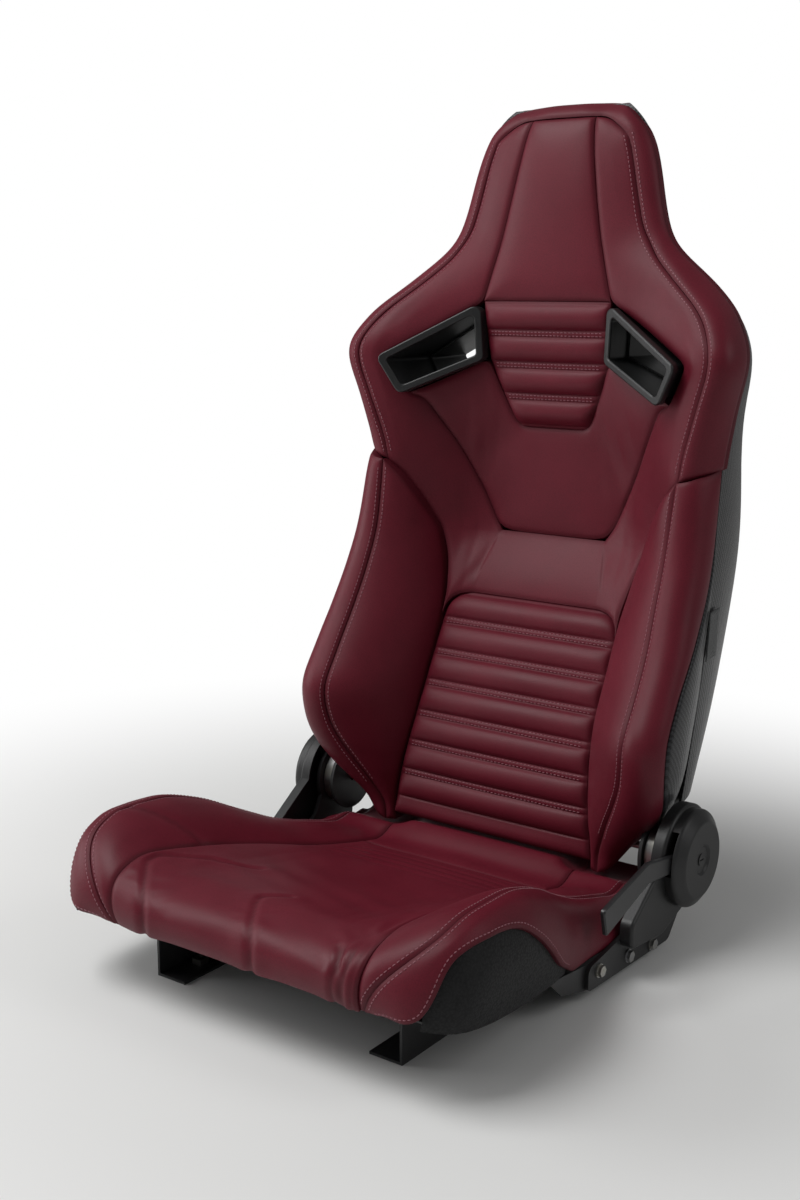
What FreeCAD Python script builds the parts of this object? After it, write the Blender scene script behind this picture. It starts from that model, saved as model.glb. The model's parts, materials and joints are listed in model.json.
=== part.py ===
import FreeCAD, Part
import math
import os

# A reclining racing seat: padded shell back with harness openings, cushion on a steel base.
# Millimetres. The seat faces -Y, +Z is up, +X is the side of the recline lever.
# The origin is the centre of the four floor bolts, on the floor.

V = FreeCAD.Vector
os.makedirs("parts", exist_ok=True)

# Driving dimensions: base frame
bolt_spacing = 290.0
bolt_hole_r = 4.3
nut_bore_r = 4.0
nut_flats = 13.0
nut_height = 6.5
rail_width = 40.0
rail_sheet = 3.0
rail_front_y = -190.0
rail_rear_y = 215.0
pan_sheet = 2.0
pan_front_y = -214.0
pan_rear_y = 205.0
pan_front_z = 68.0
pan_rear_z = 21.0
pan_flange_sheet = 2.5
pan_hole_half_width = 118.0
pan_hole_front_y = -130.0
pan_hole_rear_y = 110.0
pan_hole_taper = 12.0
pan_hole_corner_r = 24.0
pan_light_hole_r = 15.0
pan_light_hole_x = 195.0
pan_light_hole_ys = (-90.0, -25.0, 40.0)
tool_access_depth = 9.0
rail_holes = ((-75.0, 14.0), (0.0, 12.0), (65.0, 9.0))
front_tube_y = -120.0
rear_tube_y = 20.0
band_width = 32.0
band_sheet = 2.0
band_count = 4
foam_gap = 0.8
cross_tube_r = 9.0
cross_tube_wall = 1.6

# Driving dimensions: recliners, brackets, lever
pivot_y = 222.0
pivot_z = 106.0
rod_r = 4.5
rod_clearance = 1.2
disc_r = 34.0
disc_half = 8.0
disc_rim = 3.0
ring_wall = 2.0
bracket_sheet = 5.0
bracket_lobe_r = 44.0
bracket_front_y = 30.0
bracket_bolt_r = 4.0
bracket_bolt_drop = 7.3
bracket_nut_r = 6.8
bracket_nut_height = 5.5
bracket_bolt_head = 12.8
bracket_washer_r = 7.5
bracket_washer = 1.5
side_plate_x = 219.0
side_plate_sheet = 4.0
side_plate_lobe_r = 42.0
side_plate_top_z = 400.0
side_plate_top_width = 26.0
side_plate_waist_z = 200.0
side_plate_holes = ((238.0, 10.0), (290.0, 8.0), (340.0, 6.0))
cover_wall = 2.5
inner_cover_r = 60.0
inner_cover_depth = 15.0
outer_cover_r = 56.0
outer_cover_depth = 20.0
cap_r = 7.0
lever_sheet = 5.0
lever_hub_r = 13.0
lever_gap = 2.0
lever_bend_y = 118.0
lever_bend_z = 120.0
lever_tip_y = 23.0
lever_tip_z = 96.0
lever_width = 31.0
lever_arm_width = 18.0
lever_lift_deg = 25.0
arch_clearance = 4.0
pad_swing_r = 34.0
bolster_swing_r = 45.0
plate_swing_r = 58.0
spring_strip = 2.0
spring_width = 5.0
spring_pitch = 3.6
spring_turns = 4
spring_inner_r = 8.0
spring_hook = 7.0

# Driving dimensions: backrest frame
hoop_r = 11.0
hoop_wall = 1.8
hoop_foot_z = 150.0
hoop_foot_y = 277.0
hoop_lean = 0.185
hoop_waist_x = 208.0
hoop_waist_z = 430.0
hoop_shoulder_x = 226.0
hoop_shoulder_z = 668.0
hoop_neck_x = 120.0
hoop_neck_z = 770.0
hoop_top_x = 62.0
hoop_top_z = 868.0
hoop_bend_r = 42.0
low_bar_z = 175.0
mid_bar_z = 505.0
mid_bar_bow = 58.0
mid_bar_straight = 150.0
bar_r = 9.0
bar_wall = 1.5
shell_wall = 3.0
shell_bottom_z = 150.0

# Driving dimensions: harness openings, as the four corners of the bezel's face
bezel_corners = [(88.0, 715.0), (84.0, 645.0), (180.0, 601.0), (206.0, 648.0)]
bezel_face_y = 318.0
bezel_slope = 0.506
bezel_ring = 9.0
bezel_proud = 5.0
bezel_corner_r = 9.0
bezel_fillet = 2.2
sleeve_wall = 2.5
sleeve_clearance = 0.4
sleeve_overlap = 30.0
front_sleeve_end_y = 385.0
rear_ring = 8.0
rear_ring_thick = 4.0
flange_fit = 0.3

# Driving dimensions: upholstery
head_top_z = 942.0
head_seam_top_x = 41.0
head_seam_mid_x = 58.0
head_seam_low_x = 88.0
head_low_z = 716.0
upper_pad_bottom_z = 562.0
upper_pad_bottom_x = 46.0
upper_pad_notch_x = 66.0
upper_pad_notch_z = 599.0
upper_rolls = 4
panel_bottom_z = 430.0
panel_bottom_x = 74.0
lower_pad_top_z = 354.0
lower_pad_top_x = 92.0
lower_pad_side_x = 121.0
lower_pad_end_x = 137.0
lower_pad_end_z = 97.0
lower_rolls = 7
upper_pad_half_width = 110.0
upper_pad_thick = 34.0
lower_pad_half_width = 150.0
lower_pad_thick = 44.0
pad_foot_thick = 34.0
roll_rise = 7.0
roll_rise_edge = 4.0
wing_hollow = 0.05
tip_bulge = 0.13
bolster_crown = 0.06
corner_crown = 0.2
side_crown = 0.07
pad_bottom_z = 84.0
front_roll_y = -208.0
rear_roll_y = 132.0
insert_front_x = 165.0
insert_rear_x = 131.0
insert_channels = 5
insert_channel_pitch = 30.0
channel_r = 3.0
hump_bulge = 0.16
dish_hollow = 0.09
cushion_bare_rise = 0.35
cushion_rear_rise = 0.8
skirt_inset = 11.0
skirt_sheet = 3.0
core_floor_drop = 0.3
skirt_crown_z = 162.0
tag_width = 37.0
tag_height = 55.0
tag_sheet = 1.2
tag_z = 345.0
tag_y = 291.0
tag_x = 238.0


def export(name, shape):
    """Writes one node, and stops the build where its solid is faulty."""
    if not shape.isValid() or not shape.Solids:
        raise ValueError("faulty solid: " + name)
    solids = shape.Solids
    kept = solids[0] if len(solids) == 1 else Part.Compound(solids)
    kept.exportStep("parts/%s.step" % name)
    print("%-26s %2d solids %9.0f mm3" % (name, len(solids), sum(s.Volume for s in solids)))


def export_pair(name, right):
    """Writes a piece of the lever's side and its mirror image on the other side."""
    export(name + "_right", right)
    export(name + "_left", mirrored(right))


def mirrored(shape):
    return shape.mirror(V(0, 0, 0), V(1, 0, 0))


def both(right):
    """A piece and its mirror image as one group."""
    return Part.Compound([right, mirrored(right)])


def box(x0, x1, y0, y1, z0, z1):
    return Part.makeBox(x1 - x0, y1 - y0, z1 - z0, V(x0, y0, z0))


def cylinder_x(r, x0, x1, y, z):
    return Part.makeCylinder(r, x1 - x0, V(x0, y, z), V(1, 0, 0))


def rounded(points, radii):
    """A closed wire through points, with an arc of the given radius at each of them."""
    count = len(points)
    edges = []
    ends = []
    for i, p in enumerate(points):
        if radii[i] == 0:
            ends.append((p, p, p, False))
            continue
        before = (points[i - 1] - p).normalize()
        after = (points[(i + 1) % count] - p).normalize()
        half = before.getAngle(after) / 2
        reach = radii[i] / math.tan(half)
        mid = (before + after).normalize() * (radii[i] / math.sin(half) - radii[i])
        ends.append((p + before * reach, p + mid, p + after * reach, True))
    for i, (a, m, b, arc) in enumerate(ends):
        if arc:
            edges.append(Part.Arc(a, m, b).toShape())
        following = ends[(i + 1) % count][0]
        if (following - b).Length > 1e-6:
            edges.append(Part.LineSegment(b, following).toShape())
    return Part.Wire(edges)


def plate_x(outline, radii, x0, x1):
    """A plate between two values of X, with its outline given as Y and Z."""
    points = [V(x0, y, z) for y, z in outline]
    return Part.Face(rounded(points, radii)).extrude(V(x1 - x0, 0, 0))


def plate_y(outline, radii, y0, y1):
    """A block between two values of Y, with its outline given as X and Z."""
    points = [V(x, y0, z) for x, z in outline]
    return Part.Face(rounded(points, radii)).extrude(V(0, y1 - y0, 0))


def plate_z(outline, z0, z1):
    """A block between two heights, with its outline given as X and Y."""
    points = [V(x, y, z0) for x, y in outline]
    return Part.Face(Part.makePolygon(points + points[:1])).extrude(V(0, 0, z1 - z0))


def arc(a, b, sag):
    """An arc at one height from a to b; its middle stands off the chord by sag times its length."""
    across = V(0, 0, 1).cross(b - a)
    return Part.Arc(a, (a + b) / 2 + across * sag, b).toShape()


def line(a, b):
    return Part.LineSegment(a, b).toShape()


def loft(wires):
    return Part.makeLoft(wires, True, False)


def tube(wire, start, direction, r, wall):
    """A round tube along a wire."""
    outer = Part.Wire(Part.Circle(start, direction, r).toShape())
    inner = Part.Wire(Part.Circle(start, direction, r - wall).toShape())
    return wire.makePipeShell([outer], True, True).cut(wire.makePipeShell([inner], True, True))


def between(stations, at):
    """Straight-line reading of a table of stations at one value."""
    for (a, va), (b, vb) in zip(stations, stations[1:]):
        if at <= b:
            return va + (vb - va) * (at - a) / (b - a)
    return stations[-1][1]


# Planes and lines that several pieces share
bracket_x = side_plate_x + side_plate_sheet + 2 * disc_half
cover_x = bracket_x + bracket_sheet
outer_cover_x = cover_x + inner_cover_depth
lever_x = outer_cover_x + lever_gap
pan_half_width = bracket_x - pan_flange_sheet
pan_slope = (pan_front_z - pan_rear_z) / (pan_rear_y - pan_front_y)
swing_r = max(inner_cover_r, outer_cover_r) + arch_clearance


def pan_z(y):
    """Height of the seat pan's upper face."""
    return pan_rear_z + (pan_rear_y - y) * pan_slope


def hoop_y(z):
    """Depth of the hoop's centre line, which lies in one leaning plane."""
    return hoop_foot_y + (z - hoop_foot_z) * hoop_lean


def front_y(z):
    """Depth of the backrest's front face on its centre line."""
    stations = [(84, 209), (134, 213), (173, 221), (211, 234), (245, 250), (280, 268), (317, 288),
                (354, 306), (430, 350), (520, 351), (600, 337), (641, 331), (716, 321), (791, 326),
                (887, 339), (942, 352)]
    return between(stations, z)


def bezel_plane_y(x):
    """Depth of the slanted face that each harness bezel lies in."""
    return bezel_face_y - bezel_slope * (x - bezel_corners[0][0])


def pan_block(y0, y1, half, low, high):
    """A block on the pan's slope, between two heights measured from the pan's upper face."""
    outline = [(y0, pan_z(y0) + low), (y1, pan_z(y1) + low), (y1, pan_z(y1) + high), (y0, pan_z(y0) + high)]
    return plate_x(outline, [0] * 4, -half, half)


# Base frame
def mount_rail():
    """A wedge-shaped channel, open towards the centre, that the floor bolts pass through."""
    inner = bolt_spacing / 2 - rail_width / 2
    outer = bolt_spacing / 2 + rail_width / 2
    top = [(rail_front_y, pan_z(rail_front_y) - pan_sheet), (rail_rear_y, pan_z(rail_rear_y) - pan_sheet)]
    outline = [(rail_front_y, 0), (rail_rear_y, 0), top[1], top[0]]
    body = plate_x(outline, [0, 0, 0, 0], inner, outer)
    sunk = [(rail_front_y - 1, rail_sheet), (rail_rear_y + 1, rail_sheet),
            (rail_rear_y + 1, pan_z(rail_rear_y + 1) - pan_sheet - rail_sheet),
            (rail_front_y - 1, pan_z(rail_front_y - 1) - pan_sheet - rail_sheet)]
    body = body.cut(plate_x(sunk, [0] * 4, inner - 1, outer - rail_sheet))
    for y in (-bolt_spacing / 2, bolt_spacing / 2):
        body = body.cut(Part.makeCylinder(bolt_hole_r, rail_sheet + 2, V(bolt_spacing / 2, y, -1)))
        below = V(bolt_spacing / 2, y, pan_z(y) - tool_access_depth)
        body = body.cut(Part.makeCylinder(nut_flats, 3 * pan_sheet + 2 * rail_sheet, below))
    for y, r in rail_holes:
        middle = (pan_z(y) - pan_sheet) / 2
        body = body.cut(cylinder_x(r, outer - rail_sheet - 1, outer + 1, y, middle))
    return body


def weld_nuts():
    """Square weld nuts over the bolt holes, inside the rails."""
    half = nut_flats / 2
    nuts = []
    for x in (-bolt_spacing / 2, bolt_spacing / 2):
        for y in (-bolt_spacing / 2, bolt_spacing / 2):
            nut = box(x - half, x + half, y - half, y + half, rail_sheet, rail_sheet + nut_height)
            nuts.append(nut.cut(Part.makeCylinder(nut_bore_r, nut_height + 2, V(x, y, rail_sheet - 1))))
    return Part.Compound(nuts)


def seat_pan():
    """A pressed pan with a large window, a raised rim and flanges turned down at the sides."""
    outer = pan_half_width + pan_flange_sheet
    sheet = pan_block(pan_front_y, pan_rear_y, outer, -pan_sheet, 0)
    window = [(-pan_hole_half_width, pan_hole_front_y), (pan_hole_half_width, pan_hole_front_y),
              (pan_hole_half_width - pan_hole_taper, pan_hole_rear_y),
              (pan_hole_taper - pan_hole_half_width, pan_hole_rear_y)]
    points = [V(x, y, -20) for x, y in window]
    sheet = sheet.cut(Part.Face(rounded(points, [pan_hole_corner_r] * 4)).extrude(V(0, 0, 160)))
    for y in (-bolt_spacing / 2, bolt_spacing / 2):
        for x in (-bolt_spacing / 2, bolt_spacing / 2):
            sheet = sheet.cut(Part.makeCylinder(nut_flats, 40, V(x, y, pan_z(y) - 20)))
    for y in pan_light_hole_ys:
        for x in (-pan_light_hole_x, pan_light_hole_x):
            sheet = sheet.cut(Part.makeCylinder(pan_light_hole_r, 40, V(x, y, pan_z(y) - 20)))
    start = bracket_front_y - 70
    flange = [(start, pan_z(start) - pan_sheet), (pan_rear_y, pan_rear_z - pan_sheet), (pan_rear_y, 5),
              (bracket_front_y, 12), (bracket_front_y - 45, 24)]
    side = plate_x(flange, [0, 0, 4, 12, 12], pan_half_width, outer)
    for y, z in bracket_bolts:
        side = side.cut(cylinder_x(bracket_bolt_r, pan_half_width - 1, outer + 1, y, z))
    return sheet.fuse([side, mirrored(side)]).removeSplitter()


def suspension_bands():
    """Flat bands across the pan's window that carry the foam."""
    bands = []
    room = (pan_hole_rear_y - pan_hole_front_y) / band_count
    reach = pan_hole_half_width + 10
    for i in range(band_count):
        y = pan_hole_front_y + (i + 0.5) * room
        bands.append(pan_block(y - band_width / 2, y + band_width / 2, reach, 0, band_sheet))
    return Part.Compound(bands)


def cross_tube(y):
    """A tube between the rails, just under the pan."""
    half = bolt_spacing / 2 + rail_width / 2 - rail_sheet
    z = pan_z(y) - pan_sheet - rail_sheet - cross_tube_r
    body = cylinder_x(cross_tube_r, -half, half, y, z)
    return body.cut(cylinder_x(cross_tube_r - cross_tube_wall, -half, half, y, z))


def recliner_bracket():
    """The fixed bracket: a foot along the pan's flange and a lobe round the pivot."""
    foot = [(bracket_front_y, 12), (pan_rear_y + 8, 5), (pan_rear_y + 40, 40), (pivot_y + 30, pivot_z),
            (pivot_y - 30, pivot_z), (pivot_y - 55, 58), (bracket_front_y, 38)]
    body = plate_x(foot, [6, 14, 20, 0, 0, 24, 10], bracket_x, cover_x)
    body = body.fuse(cylinder_x(bracket_lobe_r, bracket_x, cover_x, pivot_y, pivot_z)).removeSplitter()
    body = body.cut(cylinder_x(rod_r + rod_clearance, bracket_x - 1, cover_x + 1, pivot_y, pivot_z))
    for y, z in bracket_bolts:
        body = body.cut(cylinder_x(bracket_bolt_r, bracket_x - 1, cover_x + 1, y, z))
    return body


bracket_bolts = [(y, pan_z(y) - pan_sheet - bracket_bolt_drop)
                 for y in (bracket_front_y + 22, bracket_front_y + 86, pan_rear_y - 34)]


def bracket_bolt(y, z):
    """A flanged hexagon bolt through bracket and flange, with its nut behind."""
    head = cylinder_x(bracket_washer_r, cover_x, cover_x + bracket_washer, y, z)
    corner = bracket_bolt_head / 2
    turns = [math.radians(60 * k) for k in range(7)]
    ring = [V(cover_x + bracket_washer, y + corner * math.cos(a), z + corner * math.sin(a)) for a in turns]
    head = head.fuse(Part.Face(Part.makePolygon(ring)).extrude(V(bracket_bolt_r, 0, 0)))
    inside = pan_half_width - bracket_nut_height
    shank = cylinder_x(bracket_bolt_r, inside - bracket_washer, cover_x, y, z)
    nut = cylinder_x(bracket_nut_r, inside, pan_half_width, y, z)
    return head.fuse([shank, nut]).removeSplitter()


def disc_half_fixed():
    """The recliner's fixed half: a thick disc whose rim the retaining ring is rolled over."""
    x0 = bracket_x - disc_half
    body = cylinder_x(disc_r, x0, bracket_x, pivot_y, pivot_z)
    body = body.cut(cylinder_x(disc_r - 5, x0 - 1, x0 + 2.0, pivot_y, pivot_z))
    return body.cut(cylinder_x(rod_r + rod_clearance, x0 - 1, bracket_x + 1, pivot_y, pivot_z))


def disc_half_moving():
    """The recliner's moving half, which turns inside the fixed half's rim."""
    x0 = side_plate_x + side_plate_sheet
    body = cylinder_x(disc_r - disc_rim, x0, x0 + disc_half - 0.3, pivot_y, pivot_z)
    body = body.fuse(cylinder_x(disc_r - 5.4, x0, x0 + disc_half + 1.6, pivot_y, pivot_z)).removeSplitter()
    return body.cut(cylinder_x(rod_r + rod_clearance, x0 - 1, x0 + disc_half + 3, pivot_y, pivot_z))


def retaining_ring():
    """The rolled ring that holds the two halves together."""
    x0 = side_plate_x + side_plate_sheet + 1.0
    body = cylinder_x(disc_r + ring_wall, x0, bracket_x - 1.0, pivot_y, pivot_z)
    body = body.cut(cylinder_x(disc_r, bracket_x - disc_half, bracket_x, pivot_y, pivot_z))
    return body.cut(cylinder_x(disc_r - disc_rim + 0.4, x0 - 1, bracket_x - disc_half, pivot_y, pivot_z))


def spiral(radius, x):
    """Half circles of growing radius, from two centres, as a list of edges."""
    edges = []
    r = radius
    centre = pivot_y
    side = 1
    for _ in range(2 * spring_turns):
        a = V(x, centre + side * r, pivot_z)
        m = V(x, centre, pivot_z + side * r)
        b = V(x, centre - side * r, pivot_z)
        edges.append(Part.Arc(a, m, b).toShape())
        centre += side * spring_pitch / 2
        r += spring_pitch / 2
        side = -side
    return edges


def return_spring():
    """A flat spiral spring round the pivot, its outer end hooked over a post on the bracket."""
    x0 = cover_x + 1.5
    inner = spiral(spring_inner_r, x0)
    outer = spiral(spring_inner_r + spring_strip, x0)
    start = line(inner[0].Vertexes[0].Point, outer[0].Vertexes[0].Point)
    last_in = inner[-1].Vertexes[-1].Point
    last_out = outer[-1].Vertexes[-1].Point
    lines = [line(last_out, last_out + V(0, 0, spring_hook)),
             line(last_out + V(0, 0, spring_hook), last_in + V(0, 0, spring_hook)),
             line(last_in + V(0, 0, spring_hook), last_in)]
    wire = Part.Wire(Part.__sortEdges__([start] + outer + lines + inner))
    return Part.Face(wire).extrude(V(spring_width, 0, 0))


def cover_outline(x, grow):
    """Outline of the inner cover: a round flange with an arm running forward and down."""
    centre = V(x, pivot_y, pivot_z)
    disc = Part.Face(Part.Wire(Part.Circle(centre, V(1, 0, 0), inner_cover_r + grow).toShape()))
    arm = [V(x, pivot_y - 30, pivot_z + 26 + grow), V(x, 150, 104 + grow), V(x, 96 - grow, 66 + grow),
           V(x, 96 - grow, 38 - grow), V(x, 168, 30 - grow), V(x, pivot_y + 10, 50 - grow)]
    bar = Part.Face(rounded(arm, [0, 30, 13 + grow, 13 + grow, 30, 0]))
    return disc.fuse(bar).removeSplitter().Faces[0]


def inner_cover():
    """Moulded tray over the bracket's lobe and bolts, open towards the bracket."""
    outside = cover_outline(cover_x, 0).extrude(V(inner_cover_depth, 0, 0))
    rim = [e for e in outside.Edges if all(abs(v.X - cover_x - inner_cover_depth) < 1e-6 for v in e.Vertexes)]
    outside = outside.makeFillet(4.0, rim)
    inside = cover_outline(cover_x - 1, -cover_wall).extrude(V(inner_cover_depth + 1 - cover_wall, 0, 0))
    body = outside.cut(inside)
    return body.cut(cylinder_x(lever_hub_r + 1.0, cover_x, outer_cover_x + 1, pivot_y, pivot_z))


def outer_cover(with_slot):
    """Round domed cap of the recliner; on the lever's side its rim has a slot for the arm."""
    centre_y = pivot_y
    profile = [V(outer_cover_x, centre_y, pivot_z + outer_cover_r),
               V(outer_cover_x + outer_cover_depth * 0.55, centre_y, pivot_z + outer_cover_r),
               V(outer_cover_x + outer_cover_depth, centre_y, pivot_z + outer_cover_r - 13),
               V(outer_cover_x + outer_cover_depth, centre_y, pivot_z + 18),
               V(outer_cover_x + outer_cover_depth - 2.5, centre_y, pivot_z + 15),
               V(outer_cover_x + outer_cover_depth - 2.5, centre_y, pivot_z),
               V(outer_cover_x, centre_y, pivot_z)]
    face = Part.Face(rounded(profile, [0, 7, 5, 1.5, 1.5, 0, 0]))
    body = face.revolve(V(0, pivot_y, pivot_z), V(1, 0, 0), 360)
    hollow = cylinder_x(outer_cover_r - cover_wall, outer_cover_x - 1,
                        outer_cover_x + outer_cover_depth * 0.45, pivot_y, pivot_z)
    body = body.cut(hollow)
    face_x = outer_cover_x + outer_cover_depth - 2.5
    body = body.cut(cylinder_x(cap_r, face_x - 2.0, face_x + 1, pivot_y, pivot_z))
    if with_slot:
        body = body.cut(lever_sweep())
    return body


def cover_cap():
    """Small trim cap in the middle of the round cover."""
    face_x = outer_cover_x + outer_cover_depth - 2.5
    body = cylinder_x(cap_r, face_x - 2.0, face_x + 1.0, pivot_y, pivot_z)
    return body.cut(box(face_x - 0.2, face_x + 2, pivot_y - 4.5, pivot_y + 4.5, pivot_z - 0.8, pivot_z + 0.8))


def lever_outline():
    """Outline of the flat lever, from the hub over a bend to the paddle's tip, as Y and Z."""
    arm = V(0, lever_bend_y - pivot_y, lever_bend_z - pivot_z).normalize()
    side = V(0, -arm.z, arm.y) * (lever_arm_width / 2)
    paddle = V(0, lever_tip_y - lever_bend_y, lever_tip_z - lever_bend_z).normalize()
    wide = V(0, -paddle.z, paddle.y) * (lever_width / 2)
    hub = V(0, pivot_y, pivot_z)
    bend = V(0, lever_bend_y, lever_bend_z)
    tip = V(0, lever_tip_y, lever_tip_z)
    points = [hub + side, bend + side * 0.6 + wide * 0.4, tip + wide, tip - wide,
              bend - side * 0.4 - wide * 0.6, hub - side]
    return [(p.y, p.z) for p in points]


def lever_plate():
    """The flat paddle lever with a chamfered outer face."""
    x1 = lever_x + lever_sheet
    body = plate_x(lever_outline(), [0, 16, 3, 5, 12, 0], lever_x, x1)
    rim = [e for e in body.Edges if all(abs(v.X - x1) < 1e-6 for v in e.Vertexes)]
    body = body.makeChamfer(1.5, rim)
    body = body.fuse(cylinder_x(lever_hub_r, lever_x, x1, pivot_y, pivot_z)).removeSplitter()
    return body.cut(cylinder_x(rod_r, lever_x - 1, x1 + 1, pivot_y, pivot_z))


def lever_sweep():
    """Room that the lever's arm sweeps in the cover's rim."""
    arm_angle = math.degrees(math.atan2(lever_bend_z - pivot_z, pivot_y - lever_bend_y))
    spread = math.degrees(math.asin((lever_arm_width / 2 + 4) / (outer_cover_r - cover_wall)))
    low = math.radians(180 - arm_angle + spread)
    high = math.radians(180 - arm_angle - spread - lever_lift_deg)
    reach = 2 * outer_cover_r
    points = [V(outer_cover_x - 1, pivot_y, pivot_z)]
    for step in range(4):
        angle = low + (high - low) * step / 3
        points.append(V(outer_cover_x - 1, pivot_y + reach * math.cos(angle),
                        pivot_z + reach * math.sin(angle)))
    depth = 1 + lever_gap + lever_sheet + 1.5
    return Part.Face(Part.makePolygon(points + points[:1])).extrude(V(depth, 0, 0))


def lever_hub():
    """Splined boss that joins the lever to the rod, as a plain stepped bush."""
    body = cylinder_x(lever_hub_r - 3, cover_x + spring_width + 4, lever_x, pivot_y, pivot_z)
    return body.cut(cylinder_x(rod_r, cover_x, lever_x + 1, pivot_y, pivot_z))


def sync_rod():
    """The rod that releases both recliners together."""
    return cylinder_x(rod_r, -cover_x - 4, lever_x + lever_sheet, pivot_y, pivot_z)


# Backrest frame
def side_plate():
    """Backrest side arm: a lobe round the pivot, tapering up along the hoop's leg."""
    top = side_plate_top_z
    low = side_plate_waist_z
    lobe = side_plate_lobe_r
    half = side_plate_top_width / 2
    outline = [(pivot_y - lobe * 0.72, pivot_z), (pivot_y + lobe * 0.72, pivot_z - 14),
               (hoop_y(low) + 10, low), (hoop_y(top) + half, top), (hoop_y(top) - half, top),
               (hoop_y(low) - 20, low)]
    body = plate_x(outline, [0, 0, 60, 8, 8, 60], side_plate_x, side_plate_x + side_plate_sheet)
    body = body.fuse(cylinder_x(lobe, side_plate_x, side_plate_x + side_plate_sheet, pivot_y, pivot_z))
    body = body.removeSplitter()
    for z, r in side_plate_holes:
        body = body.cut(cylinder_x(r, side_plate_x - 1, side_plate_x + side_plate_sheet + 1, hoop_y(z), z))
    hole = cylinder_x(rod_r + rod_clearance, side_plate_x - 1, side_plate_x + 9, pivot_y, pivot_z)
    return body.cut(hole)


def hoop_wire():
    """Path of the backrest's bent tube, in its leaning plane."""
    half = [(hoop_waist_x, hoop_foot_z), (hoop_waist_x, hoop_waist_z), (hoop_shoulder_x, hoop_shoulder_z),
            (hoop_neck_x, hoop_neck_z), (hoop_top_x, hoop_top_z)]
    right = [V(x, hoop_y(z), z) for x, z in half]
    left = [V(-p.x, p.y, p.z) for p in reversed(right)]
    points = right + left
    edges = []
    at = points[0]
    for before, corner, after in zip(points, points[1:], points[2:]):
        a = (before - corner).normalize()
        b = (after - corner).normalize()
        half_angle = a.getAngle(b) / 2
        reach = hoop_bend_r / math.tan(half_angle)
        mid = corner + (a + b).normalize() * (hoop_bend_r / math.sin(half_angle) - hoop_bend_r)
        edges.append(line(at, corner + a * reach))
        edges.append(Part.Arc(corner + a * reach, mid, corner + b * reach).toShape())
        at = corner + b * reach
    edges.append(line(at, points[-1]))
    return Part.Wire(edges)


def back_hoop():
    start = V(hoop_waist_x, hoop_y(hoop_foot_z), hoop_foot_z)
    direction = V(0, hoop_lean, 1)
    return tube(hoop_wire(), start, direction, hoop_r, hoop_wall)


def hoop_rod():
    """The hoop without its bore, for what is coped or moulded round it."""
    start = V(hoop_waist_x, hoop_y(hoop_foot_z), hoop_foot_z)
    circle = Part.Wire(Part.Circle(start, V(0, hoop_lean, 1), hoop_r).toShape())
    return hoop_wire().makePipeShell([circle], True, True)


def lower_cross_bar():
    """A straight tube between the hoop's legs, its ends coped to them."""
    y = hoop_y(low_bar_z)
    body = cylinder_x(bar_r, -hoop_waist_x, hoop_waist_x, y, low_bar_z)
    body = body.cut(cylinder_x(bar_r - bar_wall, -hoop_waist_x, hoop_waist_x, y, low_bar_z))
    return max(body.cut(hoop_rod()).Solids, key=lambda s: s.Volume)


def bowed_bar_wire():
    """Path of the middle bar: it leaves the hoop's legs backward and runs straight behind the foam."""
    lean = (hoop_shoulder_x - hoop_waist_x) * (mid_bar_z - hoop_waist_z) / (hoop_shoulder_z - hoop_waist_z)
    a = V(hoop_waist_x + lean, hoop_y(mid_bar_z), mid_bar_z)
    turn = V(mid_bar_straight, hoop_y(mid_bar_z) + mid_bar_bow, mid_bar_z)
    back = (a - turn).normalize()
    inward = V(-1, 0, 0)
    angle = back.getAngle(inward) / 2
    reach = hoop_bend_r / math.tan(angle)
    mid = turn + (back + inward).normalize() * (hoop_bend_r / math.sin(angle) - hoop_bend_r)
    flip = lambda p: V(-p.x, p.y, p.z)
    start = turn + back * reach
    end = turn + inward * reach
    edges = [line(a, start), Part.Arc(start, mid, end).toShape(), line(end, flip(end)),
             Part.Arc(flip(end), flip(mid), flip(start)).toShape(), line(flip(start), flip(a))]
    return Part.Wire(edges), a, -back


def middle_cross_bar():
    wire, start, direction = bowed_bar_wire()
    body = tube(wire, start, direction, bar_r, bar_wall)
    body = body.cut(hoop_rod())
    return max(body.Solids, key=lambda s: s.Volume)


# Height, half width at the rim, rim depth, corner half width, corner depth, centre depth of the back shell
shell_stations = [(shell_bottom_z, 230, 262, 214, 322, 350), (195, 232.7, 271, 216.4, 340, 373),
                  (240, 235, 279, 218, 358, 394), (285, 236.8, 287, 218, 376, 414),
                  (330, 238, 294, 217, 394, 432), (385, 238.6, 301, 214, 418, 459),
                  (440, 239, 306, 210, 437, 478), (530, 241, 312, 204, 446, 480),
                  (600, 252, 315, 208, 434, 466), (660, 262, 318, 206, 424, 454),
                  (700, 246, 326, 184, 420, 446), (735, 208, 340, 154, 420, 441),
                  (791, 143, 352, 106, 422, 437), (887, 115, 364, 84, 421, 433),
                  (920, 101, 369, 72, 410, 420), (head_top_z, 78, 374, 52, 392, 398)]


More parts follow.
